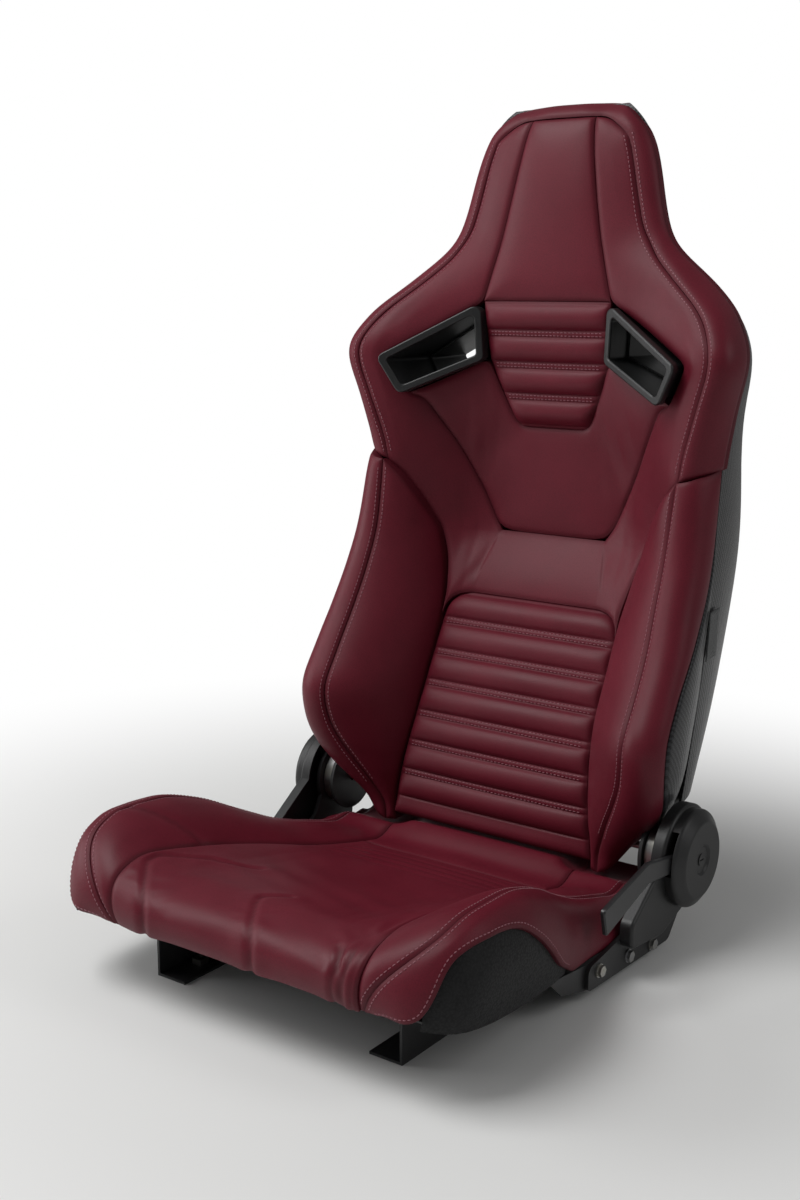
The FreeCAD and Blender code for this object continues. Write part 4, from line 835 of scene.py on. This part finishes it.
class SEAT_OT_wings(Operator):
    """Sews the cover that runs from both wings across the lumbar region, and the band round the rim"""
    bl_idname = "seat.wings"
    bl_label = "Wings and rim band"

    def execute(self, context):
        ridge = ridge_points(RIDGE_HEIGHTS)
        inner = Edge(PANEL_SEAM + [BEZEL[1], BEZEL[0]] + HEAD_SEAM[1:], back, low=0,
                     knots=np.cumsum([0, .03, .065, .075, .085, .03, .075, .185, .055, .1, .1, .11, .09]))
        outer = Edge(BOLSTER_TOP + ridge[1:], back, low=0, high=2.6, ease=0.02,
                     knots=np.cumsum([0, .075, .075, .075, .04, .04, .04, .045, .04, .04, .045, .045, .06, .055,
                                      .075, .085, .08, .085]))
        low = Edge([PANEL_SEAM[0], BOLSTER_TOP[0]], back, low=0)
        corner = (60, BAND_W - 2)
        high = Edge([HEAD_SEAM[-1], corner, ridge[-1]], back, low=0, high=2.6, ease=0.2)
        wing = patch(back, low, high, inner, outer, pitch=9, cols=14)
        rows = steps(90, 9)
        side = Edge([PAD_TOP[0], (123, 353), (131, 394), BOLSTER_TOP[0]], back, low=0, ease=0.1)
        middle_side = Edge([PAD_TOP[-1], PANEL_SEAM[0]], back, low=0)
        third = patch(back, Edge(PAD_TOP[::-1], back, low=0), low, middle_side, side, rows=rows, cols=14)
        middle = patch(back, level(92, 354, back), level(74, 430, back), Edge([(-92, 354), (-74, 430)], back),
                       middle_side, rows=rows, cols=18)
        cover = pad("wing_and_lumbar_cover", "backrest",
                    [wing, on_side(wing, -1), third, on_side(third, -1), middle], crown=3.5, soft=20,
                    swell=(2.0, 2.5))
        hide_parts("shoulder_pad_right", "shoulder_pad_left", "lumbar_band")
        path = ridge + [corner, HEAD_SEAM[-1]]
        share = np.linspace(0, 0.5, len(path))
        round_it = np.concatenate([share, 1 - share[::-1]])
        inside = Edge(path + flip(path)[::-1], back, ease=0.01, knots=round_it)
        rim = [(3.0, h) for h in [533] + RIDGE_HEIGHTS[1:]] + [(2.5, 950), (1.7, 976)]
        outside = Edge(rim + flip(rim)[::-1], ease=0.02, knots=round_it)
        strip = patch(back, outside, inside, Edge([rim[0], (2.5, 526), end_of(inside, 0)]),
                      Edge([(-3.0, 533), (-2.5, 526), end_of(inside, 1)]))
        pad("rim_band", "backrest", [strip], crown=1.8, soft=10, tuck=1.6, narrow=2.6, depth=7, room=over_rim,
            rear=(0, 1, 0))
        return {"FINISHED"}


def over_rim(p):
    """Widens the band round the head so that it wraps over the shell's rim."""
    p = p.copy()
    x, z = np.abs(p[:, 0]), p[:, 2]
    wide = back_table(np.minimum(z, HEAD_TOP))[:, 3]
    beside, corner = ramp(x, wide - 10, 10) * ramp(z, 690, 50), ramp(x, 62, 14) * ramp(z, 930, 10)
    p[:, 0] += np.sign(p[:, 0]) * (OVER_SIDE * beside + OVER_CORNER * corner)
    p[:, 2] += OVER_TOP * ramp(z, 925, 16)
    return p


def end_of(edge, t):
    """Where an edge starts (0) or ends (1), in the surface's own coordinates."""
    return tuple(edge(np.array([float(t)]))[0])


class SEAT_OT_middle(Operator):
    """Sews the plain panel between the shoulders and the two ribbed pads"""
    bl_idname = "seat.middle"
    bl_label = "Middle panel and ribs"

    def execute(self, context):
        knots = [0, .04, .19, .30, .40, .44, .56, .60, .70, .81, .96, 1]
        high = [(180, 601.5), (172, 604.7), (84, 645), (66, 599), (52, 568), (44, 562)]
        bottom = Edge(flip(PANEL_SEAM[::-1]) + PANEL_SEAM, back, ease=0.025, knots=knots)
        top = Edge(flip(high) + high[::-1], back, ease=0.012, knots=knots)
        ends = [Edge([end_of(bottom, t), end_of(top, t)]) for t in (0, 1)]
        sheet = patch(back, bottom, top, *ends)
        piece = pad("centre_cover", "backrest", [sheet], crown=3.0, soft=20, tuck=2.4, swell=(2.0, 2.5))
        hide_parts("centre_panel")
        rise = context.scene.seat_dress.padding.rib / MM
        for name, node, rolls, low, high, side in RIBS:
            scaled = [(x / 50, z) for x, z in side]
            (x0, z0), (x1, _) = scaled[0], scaled[-1]
            start = (low - z0) / (high - z0)
            lower = start > 0
            rows = np.concatenate([[0, 0.01, 0.03] if lower else [], start + (1 - start) * rib_rows(rolls)])
            sheet = patch(rib_face, level(x0, z0), level(x1, high), Edge(flip(scaled), ease=0.03),
                          Edge(scaled, ease=0.03), rows=rows)
            piece = pad(name, "backrest", [sheet], crown=0.0, tuck=2.5, narrow=4,
                        extra=rib_rise(low, high, rolls, rise), depth=42 if lower else 18, swell=(1.5, 1.2),
                        room=foot_room if lower else None)
            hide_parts(node)
        return {"FINISHED"}


# Ribbed pads: name, node, rolls, heights of the lowest and highest line, and the right side's x and height
RIBS = [("upper_ribs", "upper_rib_pad", 4, 562, HEAD_LOW,
         [(44, 562), (52, 568), (66, 599), (84, 645), (88, HEAD_LOW)]),
        ("lower_ribs", "lower_rib_pad", 7, 97, 354,
         [(143, 77), (140, 97), (138.5, 110), (135.5, 130), (130.5, 165), (126, 200), (124, 238), (124, 285)]
         + PAD_TOP)]


def rib_rows(count):
    """Fractions of the height for rows of the grid, dense at each pair of sewn lines."""
    local = np.array([0, .03, .06, .09, .12, .16, .24, .34, .44, .54, .64, .74, .82, .87, .91, .94, .97])
    return np.concatenate([(local + i) / count for i in range(count)] + [[1.0]])


def rib_rise(low, high, count, rise):
    """Sewn rolls: between two lines of stitches a flat strip, and between the strips a half-wave bulge. The
    grooves are also given as a mask for painted shade.
    """
    strip = 0.11

    def extra(p, d):
        t = (p[:, 2] - low) / (high - low) * count
        t = np.where(t < 0, 0.5 + t * 0.35, t % 1.0)
        near = np.minimum(t, 1 - t)
        wide = 1 - 0.35 * ramp(np.abs(p[:, 0]), 0, 130) ** 2
        roll = rise * np.sin(math.pi * ramp(t, strip, 1 - 2 * strip)) ** 0.75 * wide
        groove = bell(near - strip, 0.028)
        flat = 0.9 * np.clip(1 - near / strip, 0, 1) ** 0.5
        # The second value marks the grooves for painted shade.
        return (roll + flat - 1.6 * groove) * (1 - np.exp(-d / 6)), 0.8 * groove
    return extra


class SEAT_OT_bolsters(Operator):
    """Sews the big side bolsters of the backrest, each an inner face and a side panel"""
    bl_idname = "seat.bolsters"
    bl_label = "Back bolsters"

    def execute(self, context):
        seam_top = Edge([(0.0, 425), (0.02, 433), (0.3, 469), (0.65, 501), (1.0, 519)], ease=0.1)
        ridge = Edge([(1, 66), (1, 519)])
        inner = patch(bolster, Edge([(0, 66), (1, 66)]), seam_top, Edge([(0, 66), (0, 425)]), ridge)
        side_top = Edge([(1, 519), (1.7, 524), (3, 533)], ease=0.2)
        side_low = Edge([(1, 66), (1.5, 71), (2, 90), (2.2, 118), SHELL_LIP[0]], ease=0.12)
        side = patch(bolster, side_low, side_top, ridge, Edge(SHELL_LIP, ease=0.06))
        tip = (2.96, 531)
        flank = patch(bolster, Edge([SHELL_LIP[0], (3, 150)]), Edge([tip, (3, 533)]),
                      Edge(SHELL_LIP[:-1] + [tip], ease=0.06), Edge([(3, 150), (3, 533)]))
        for name, k in SIDES:
            face = pad("bolster_face_" + name, "backrest", [on_side(inner, k)], crown=5.5, soft=28, tuck=2.0,
                       extra=bolster_folds, depth=34, swell=(3.0, 4.0), room=foot_room, rear=(0, 1, 0))
            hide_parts("back_bolster_" + name)
            pad("bolster_side_" + name, "backrest", [on_side(side, k)], crown=2.5, soft=16, tuck=1.5,
                narrow=2.8, depth=14, swell=(2.0, 2.0), room=foot_room)
            pad("shell_flank_" + name, "backrest", [on_side(flank, k)], crown=1.6, soft=3, tuck=0.6, narrow=1.5,
                depth=4, finish="shell_laminate_coated")
        return {"FINISHED"}


def bolster_folds(p, d):
    """Shallow pull lines that run from the knee's seam up into the face."""
    wave = np.sin(p[:, 2] * 0.21 + p[:, 0] * 0.05)
    return 0.5 * bell(p[:, 2] - 150, 60) * wave * np.exp(-d / 18) * (1 - np.exp(-d / 5)), 0 * d


def turning_room(p, radius, first, second, length):
    """Radius about the pivot of the room in which the backrest turns: two steps wider towards the sides."""
    x = np.abs(p[:, 0])
    return radius + STEPS_OUT[0] * ramp(x, first, length) + STEPS_OUT[1] * ramp(x, second, length)


def foot_room(p):
    """Keeps the backrest's lowest pads inside the round room about the pivot, where they pass the cushion."""
    p = p.copy()
    room = turning_room(p, FOOT_RADIUS, 121, 214, 6)
    y, z = p[:, 1] - PIVOT_Y, p[:, 2] - PIVOT_Z
    r = np.hypot(y, z)
    scale = np.where((z < 0) & (r > room), room / np.maximum(r, 1e-9), 1.0)
    p[:, 1], p[:, 2] = PIVOT_Y + y * scale, PIVOT_Z + z * scale
    return p


def swing_room(p):
    """Keeps the cushion's rear below the room in which the backrest turns, and its nose above its own foot."""
    p = p.copy()
    r = turning_room(p, HOLLOW_RADIUS, 107, 200, 14)
    y, z = p[:, 1] - PIVOT_Y, p[:, 2]
    ceiling = PIVOT_Z - np.sqrt(np.maximum(r * r - y * y, 0)) - TURN_GAP
    z = np.where(np.abs(y) < r, np.minimum(z, ceiling), z)
    p[:, 2] = np.where(p[:, 1] < NOSE_REAR, np.maximum(z, NOSE_FOOT), z)
    return p


# Lines in plan: sewn darts over the nose, the left bolster's fold; gathers' x and depth; where the channels run
DARTS = [[(-109, -262), (-130, -240), (-152, -214), (-155, -196), (-125, -146), (-82, -114)],
         [(36, -262), (18, -240), (0, -213), (-6, -199), (15, -177)], [(146, -262), (138, -250), (128, -238)]]
FOLD = [[(-109, -108), (-150, -120), (-183, -133), (-235, -170)]]
GATHERS = [(134, 4.2), (141, 3.0), (149, 4.6), (156, 3.2)]
CHANNEL_Y = (118, 103, 87, 70, 52, 33)


def creased(p, lines, deep, width, puff, reach):
    """Creases along lines in plan: a narrow groove, and beside it a soft swelling; the grooves are also a mask
    for painted shade.
    """
    rise, shade_mask = 0.0, 0.0
    flat = p * np.array([1.0, 1.0, 0.0])
    for points in lines:
        line = np.array([(*q, 0.0) for q in points], float)
        gap = distance_to(flat, line[:-1], line[1:])
        rise = rise - deep * bell(gap, width) + puff * bell(gap, reach)
        shade_mask = np.maximum(shade_mask, 0.85 * bell(gap, width))
    return rise, shade_mask


def cushion_details(p, d):
    """Sewn darts over the nose, gathers at its corner, and the thin channels at the rear of the dish, each also
    a mask for painted shade along its groove.
    """
    total, shade_mask = creased(p, DARTS, 4.2, 3.2, 2.0, 17.0)
    x, y, z = p.T
    near = ramp(-y, 222, 22)
    for at, deep in GATHERS:
        line = near * bell(x - at - (z - 110) * 0.10, 2.0)
        total, shade_mask = total - deep * line, np.maximum(shade_mask, 0.9 * line)
    total = total + near * 3.4 * bell(x - 146, 15.0)
    fade = ramp(-np.abs(x), -116, 16)
    for at in CHANNEL_Y:
        line = fade * bell(y - at, 2.6)
        total, shade_mask = total - 1.8 * line, np.maximum(shade_mask, 0.6 * line)
    pull = bell(y + 120, 60) * bell(np.abs(x) - 60, 60)
    return total + pull * 0.8 * np.sin(x * 0.05 + y * 0.13), shade_mask


def fold(p, d):
    """The soft fold across the left bolster of the cushion, with painted shade along it."""
    return creased(p, FOLD, 2.4, 6.0, 1.6, 22.0)


def arch_edge():
    """Where the side cover ends over the skirt's arch, in the cushion surface's own coordinates."""
    w, s = np.linspace(-296, 252, 138), np.linspace(2.0, 4.0, 80)
    low = cushion(*np.meshgrid(s, w))[..., 2] < arch_line(w)
    across = np.where(low.any(1), s[low.argmax(1)], 4.0)
    nose = NOSE_S - NOSE_TAPER * ramp(-w, 276, 18)
    across = np.where(w < NOSE_W, nose, np.maximum(across, LEAST_S))
    for _ in range(3):
        across = np.convolve(np.pad(across, 2, mode="edge"), np.array([1, 2, 3, 2, 1]) / 9, mode="valid")
    return Edge(list(zip(across, w)), knots=np.linspace(0, 1, len(w)))


class SEAT_OT_cushion(Operator):
    """Sews the seat cushion: dished top with its nose, rear roll and both side bolsters"""
    bl_idname = "seat.cushion"
    bl_label = "Cushion"

    def execute(self, context):
        seam = [(160, -296), (166, -250), (165, -208), (131, 132)]
        right, left = Edge(seam, cushion, 0, 3, 0.02), Edge(flip(seam), cushion, -3, 0, 0.02)
        rear_seam = level(131, 132, cushion)
        top = patch(cushion, level(160, -296, cushion), rear_seam, left, right, pitch=4.5)
        piece = pad("cushion_top", "seat_base", [top], crown=3.0, soft=26, tuck=2.0, extra=cushion_details,
                    swell=(3.0, 5.0))
        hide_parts("cushion_insert", "cushion_front_roll")
        rear = patch(cushion, rear_seam, level(131, 252, cushion),
                     Edge([(-131, 132), (-131, 252)], cushion, -3, 0),
                     Edge([(131, 132), (131, 252)], cushion, 0, 3))
        roll = pad("cushion_rear", "seat_base", [rear], crown=3.0, soft=16, tuck=2.0, room=swing_room,
                   depth=12, swell=(2.0, 3.0))
        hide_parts("cushion_rear_roll")
        inner = Edge(seam + [(131, 252)], cushion, 0, 3, 0.02)
        nose, heel = (2, -296), (2, 252)
        ridge, foot = Edge([nose, heel]), arch_edge()
        face = patch(cushion, Edge([end_of(inner, 0), nose]), Edge([end_of(inner, 1), heel]), inner, ridge)
        side = patch(cushion, Edge([nose, end_of(foot, 0)]), Edge([heel, end_of(foot, 1)]), ridge, foot)
        for name, k in SIDES:
            top_face = pad("cushion_bolster_face_" + name, "seat_base", [on_side(face, k)], crown=4.0, soft=22,
                           tuck=2.0, room=swing_room, swell=(3.0, 4.0), extra=fold)
            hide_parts("cushion_bolster_" + name)
            pad("cushion_bolster_side_" + name, "seat_base", [on_side(side, k)], crown=2.0, soft=12, tuck=1.2,
                narrow=2.6, depth=9, room=swing_room, swell=(2.0, 2.0))
        return {"FINISHED"}


def cloth(name, body, sheet, thick, material, node):
    """A stretched sheet of cloth as a thin closed form; the flat area of its own front is worked out and not
    used.
    """
    p, n, quads = welded([sheet])
    rim = rim_of(quads)
    count = len(p)
    walls = np.stack([rim[:, 1], rim[:, 0], count + rim[:, 0], count + rim[:, 1]], 1)
    seam = np.exp(-distance_to(p, p[rim[:, 0]], p[rim[:, 1]]) / 4)
    obj = make_mesh(name, np.concatenate([p, p - n * thick]),
                    np.concatenate([quads, walls, count + quads[:, ::-1]]).tolist(), np.tile(seam, 2))
    a, b, c, d = (p[quads[:, k]] for k in range(4))
    area = sum(np.linalg.norm(np.cross(*two), axis=1).sum() / 2 for two in ((b - a, c - a), (c - a, d - a)))
    area *= MM * MM
    obj.data.materials.append(bpy.data.materials[material])
    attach(obj, body)
    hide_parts(node)


def box_mm(node):
    """The two corners of a carried-over node, in millimetres."""
    return (np.array(corner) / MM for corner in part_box(node))


def tag_sheet():
    """The tag: a leaning upright of cloth that stands off the bolster's side and waves slightly."""
    (_, y0, z0), (x1, y1, z1) = box_mm("side_tag")
    u, v = np.meshgrid(np.linspace(0, 1, 9), np.linspace(0, 1, 13))
    lean = TAG_LEAN * (z1 - z0)
    y = y0 - TAG_FORWARD + u * (y1 - y0 - lean) + v * lean
    x = x1 + TAG_OFF - TAG_TURN * u + 0.3 * np.sin(v * 4.0 + u * 2.0)
    return grid_sheet(np.stack([x, y, z0 + v * (z1 - z0)], -1), (1.0, 0, 0))


def band_sheets():
    """The elastic bands under the cushion, each sagging a little between its ends."""
    _, (half, _, _) = box_mm("suspension_bands")
    slope = (PAN_FRONT[1] - PAN_REAR[1]) / (PAN_REAR[0] - PAN_FRONT[0])
    u, v = np.meshgrid(np.linspace(-1, 1, 25), BAND_WIDTH * np.linspace(-0.5, 0.5, 7))
    for number in range(4):
        y = BAND_START + BAND_PITCH * number + v
        z = PAN_REAR[1] + (PAN_REAR[0] - y) * slope + BAND_LIFT - BAND_SAG * np.clip(1.05 - u * u, 0, 1)
        yield grid_sheet(np.stack([u * half, y, z], -1), (0, 0, 1.0))


class SEAT_OT_cloths(Operator):
    """Lays the side skirts, the elastic bands under the cushion and the bare tag"""
    bl_idname = "seat.cloths"
    bl_label = "Skirts, bands and tag"

    def execute(self, context):
        def inset(s, w):
            return cushion(s, w) - SKIRT_INSET * facing(cushion, s, w)

        run = arch_edge()(np.linspace(0, 1, 40))
        run = run[(run[:, 1] < SKIRT_REAR) & (run[:, 1] > NOSE_W)]
        knots = np.linspace(0, 1, len(run))
        top = Edge([(s - 0.12, w) for s, w in run], knots=knots)
        low = Edge([(3.96, w) for s, w in run], knots=knots)
        ends = [Edge([end_of(top, t), end_of(low, t)]) for t in (0, 1)]
        p, n, quads = patch(inset, top, low, *ends, pitch=9)
        for name, k in SIDES:
            cloth("skirt_" + name, "seat_base", on_side((p, -n, quads[:, ::-1]), k), 2.4, "skirt_vinyl",
                  "side_skirt_" + name)
        cloth("fabric_tag", "backrest", tag_sheet(), 1.0, "tag_woven", "side_tag")
        cloth("elastic_bands", "seat_base", welded(list(band_sheets())), 1.8, "webbing_woven",
              "suspension_bands")
        return {"FINISHED"}


def seam_rows(surface, path, offsets):
    """Lines of points beside a seam: the seam's own points shifted sideways in the surface."""
    s, w = path(np.linspace(0, 1, 400)).T
    p, n = surface(s, w), facing(surface, s, w)
    side = np.cross(unit(np.gradient(p, axis=0)), n)
    return [p + k * side + 2.0 * n for k in offsets]


def sew(name, body, hosts, lines):
    """One mesh of stitches: short five-sided spindles laid at even steps along lines on the finished pads."""
    group = bpy.context.scene.seat_dress.stitching
    length, pitch, thick = group.length / MM, group.pitch / MM, group.thick / MM
    depsgraph = bpy.context.evaluated_depsgraph_get()
    trees = [BVHTree.FromObject(bpy.data.objects[host], depsgraph) for host in hosts]

    def land(point):
        hits = [tree.find_nearest(Vector(point * MM)) for tree in trees]
        best = min((h for h in hits if h[0] is not None), key=lambda h: h[3])
        return np.array(best[0]) / MM, np.array(best[1])

    ends = []
    for line in lines:
        run = np.concatenate([[0], np.cumsum(np.linalg.norm(np.diff(line, axis=0), axis=1))])
        for at in np.arange(pitch, run[-1] - pitch, pitch):
            (a, na), (b, nb) = (land(np.array([np.interp(at + k * length / 2, run, q) for q in line.T]))
                                for k in (-1, 1))
            if np.linalg.norm(b - a) < 1.6 * length:
                ends.append((a, b, na + nb))
    a, b, n = (np.array([e[k] for e in ends]) for k in range(3))
    n = unit(n)
    side = np.cross(unit(b - a), n)
    turn = np.arange(5)[None, :, None] * 2 * math.pi / 5
    rings = []
    # Share of the stitch's length, radius and lift of each ring, the last two in thread thicknesses
    for share, radius, lift in ((0.0, 0.35, -0.15), (0.2, 1.0, 0.12), (0.8, 1.0, 0.12), (1.0, 0.35, -0.15)):
        centre = a + share * (b - a) + n * lift * thick
        around = np.cos(turn) * side[:, None] + np.sin(turn) * n[:, None]
        rings.append(centre[:, None] + radius * thick / 2 * around)
    j, after = np.arange(5), (np.arange(5) + 1) % 5
    one = np.concatenate([np.stack([j, after, 5 + after, 5 + j], 1) + 5 * r for r in range(3)])
    base = (np.arange(len(a)) * 20)[:, None]
    faces = (base[:, None] + one[None]).reshape(-1, 4).tolist()
    faces += (base + j[::-1]).tolist() + (base + 15 + j).tolist()
    obj = make_mesh(name, np.stack(rings, 1).reshape(-1, 3), faces)
    obj.data.materials.append(bpy.data.materials["thread"])
    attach(obj, body)


class SEAT_OT_stitching(Operator):
    """Sews the visible stitch rows beside the ridges, along the ribs and round the arch"""
    bl_idname = "seat.stitching"
    bl_label = "Stitching"

    def execute(self, context):
        gauge = context.scene.seat_dress.stitching.gauge / MM
        both = (-gauge, gauge)
        knots = np.linspace(0, 1, 60)
        crest = seam_rows(back, Edge([(2.0, h) for h in np.linspace(524, 912, 60)], knots=knots), both)
        sew("wing_stitches", "backrest", ["wing_and_lumbar_cover", "rim_band"],
            crest + [q * OTHER_SIDE for q in crest])
        beside = seam_rows(bolster, Edge([(1, 116), (1, 512)]), both)
        for name, k in SIDES:
            sew("bolster_stitches_" + name, "backrest", ["bolster_face_" + name, "bolster_side_" + name],
                [q * (k, 1, 1) for q in beside])
        cut = seam_rows(cushion, arch_edge(), (-gauge,))[0]
        beside = seam_rows(cushion, Edge([(2, -288), (2, 200)]), both) + [cut[cut[:, 1] < -20]]
        for name, k in SIDES:
            hosts = ["cushion_bolster_face_" + name, "cushion_bolster_side_" + name]
            sew("cushion_stitches_" + name, "seat_base", hosts, [q * (k, 1, 1) for q in beside])
        for name, _, rolls, low, high, side in RIBS:
            rows = []
            for i in range(1, rolls):
                z = low + (high - low) * i / rolls
                reach = (np.interp(z, [q[1] for q in side], [q[0] for q in side]) - 4) / 50
                for at in (z - gauge / 2, z + gauge / 2):
                    rows += seam_rows(rib_face, level(reach, at), (0.0,))
            sew(name[:5] + "_rib_stitches", "backrest", [name], rows)
        return {"FINISHED"}


# Studio, in metres and radians: the paper's rings, the distances between which it fades into white, the lamps
# (name, place, aim, size) and the camera's place, turn, pitch and lens in millimetres
PAPER_RINGS = (8.0, 4.0, 2.4, 1.6, 1.0, 0.5, 0.0)
PAPER_FADE = (0.42, 1.25)
LAMPS = [("key", (-1.0, -1.1, 2.8), (0, 0.1, 0.5), (1.8, 1.6)),
         ("fill", (-2.5, -1.1, 1.2), (0, 0.0, 0.4), (1.4, 1.8)),
         ("rim", (2.2, 0.7, 1.7), (0.1, 0.2, 0.5), (1.0, 1.6))]
CAMERA_PLACE, CAMERA_TURN, CAMERA_PITCH, CAMERA_LENS = (0.9601, -1.2686, 0.7387), 0.6368, 0.2063, 45.6
WHITE = (1.0, 1.0, 1.0, 1.0)


class SEAT_OT_studio(Operator):
    """Sets the pale floor, the soft lamps and the camera at the photograph's viewing angle"""
    bl_idname = "seat.studio"
    bl_label = "Studio"

    def execute(self, context):
        studio = context.scene.seat_dress.studio
        turn, r = np.meshgrid(np.linspace(0, 2 * math.pi, 97), np.array(PAPER_RINGS) / MM)
        disc = grid_sheet(np.stack([r * np.cos(turn), r * np.sin(turn), 0 * r], -1), (0, 0, 1.0))
        points, _, quads = welded([disc])
        floor = make_mesh("studio_floor", points, quads.tolist())
        f = Finish("studio_paper", 0.8, **{"Specular IOR Level": 0.1})
        f.bump(f.noise(3.0), 0.05, 0.2)
        x, y, _ = f.axes()
        away = (x * x + (y - 0.05) * (y - 0.05)) ** 0.5
        seen = Val(f, f.node("ShaderNodeLightPath").outputs["Is Camera Ray"])
        white = f.node("ShaderNodeEmission", {}, {"Color": WHITE, "Strength": 1.0})
        mix = f.node("ShaderNodeMixShader", {}, {0: away.eased(*PAPER_FADE) * seen, 1: f.shader.outputs[0],
                                                 2: white.outputs[0]})
        f.put(f.out.inputs[0], mix.outputs[0])
        paper = f.mixed(f.noise(600), shade(studio.floor, 0.985), studio.floor)
        floor.data.materials.append(f.done(colour=paper))
        world = bpy.data.worlds.new("studio_air")
        world.use_nodes = True
        tree = world.node_tree
        even = tree.nodes["Background"]
        blank, path, both = (tree.nodes.new("ShaderNode" + kind)
                             for kind in ("Background", "LightPath", "MixShader"))
        for node, strength in ((even, studio.world), (blank, 1.0)):
            node.inputs[0].default_value, node.inputs[1].default_value = WHITE, strength
        for k, source in enumerate((path.outputs["Is Camera Ray"], even.outputs[0], blank.outputs[0])):
            tree.links.new(source, both.inputs[k])
        tree.links.new(both.outputs[0], tree.nodes["World Output"].inputs[0])
        context.scene.world = world
        for name, place, aim, size in LAMPS:
            data = bpy.data.lights.new("lamp_" + name, "AREA")
            data.shape, data.energy = "RECTANGLE", getattr(studio, name)
            data.size, data.size_y = size
            lamp = bpy.data.objects.new("lamp_" + name, data)
            lamp.location = place
            lamp.rotation_euler = (Vector(aim) - Vector(place)).to_track_quat("-Z", "Y").to_euler()
            context.collection.objects.link(lamp)
        data = bpy.data.cameras.new("camera")
        data.sensor_fit, data.sensor_height, data.sensor_width, data.lens = "VERTICAL", 36.0, 24.0, CAMERA_LENS
        camera = bpy.data.objects.new("camera", data)
        right = Vector((math.cos(CAMERA_TURN), math.sin(CAMERA_TURN), 0.0))
        ahead = math.cos(CAMERA_PITCH)
        rear = Vector((right.y * ahead, -right.x * ahead, math.sin(CAMERA_PITCH)))
        looking = Matrix((right, rear.cross(right), rear)).transposed().to_4x4()
        camera.matrix_world = Matrix.Translation(CAMERA_PLACE) @ looking
        context.collection.objects.link(camera)
        context.scene.camera = camera
        context.scene.view_settings.view_transform = "Standard"
        return {"FINISHED"}


class SEAT_PT_dress(Panel):
    """Lists the pieces of the seat and the sizes that they take"""
    bl_label = "Racing seat"
    bl_space_type = "VIEW_3D"
    bl_region_type = "UI"
    bl_category = "Seat"

    def draw(self, context):
        dress = context.scene.seat_dress
        for group in (dress.leather, dress.padding, dress.stitching, dress.studio):
            box = self.layout.box()
            for key in group.__annotations__:
                box.prop(group, key)
        for step in STEPS:
            self.layout.operator(step.bl_idname)


STEPS = [SEAT_OT_studio, SEAT_OT_finishes, SEAT_OT_headrest, SEAT_OT_wings, SEAT_OT_middle, SEAT_OT_bolsters,
         SEAT_OT_cushion, SEAT_OT_cloths, SEAT_OT_stitching]
CLASSES = [SeatLeather, SeatPadding, SeatStitching, SeatStudio, SeatDress, *STEPS, SEAT_PT_dress]


def register():
    for item in CLASSES:
        bpy.utils.register_class(item)
    bpy.types.Scene.seat_dress = PointerProperty(type=SeatDress)


def unregister():
    del bpy.types.Scene.seat_dress
    for item in reversed(CLASSES):
        bpy.utils.unregister_class(item)


def main():
    register()
    for step in STEPS:
        family, name = step.bl_idname.split(".")
        getattr(getattr(bpy.ops, family), name)()


if __name__ == "__main__":
    main()
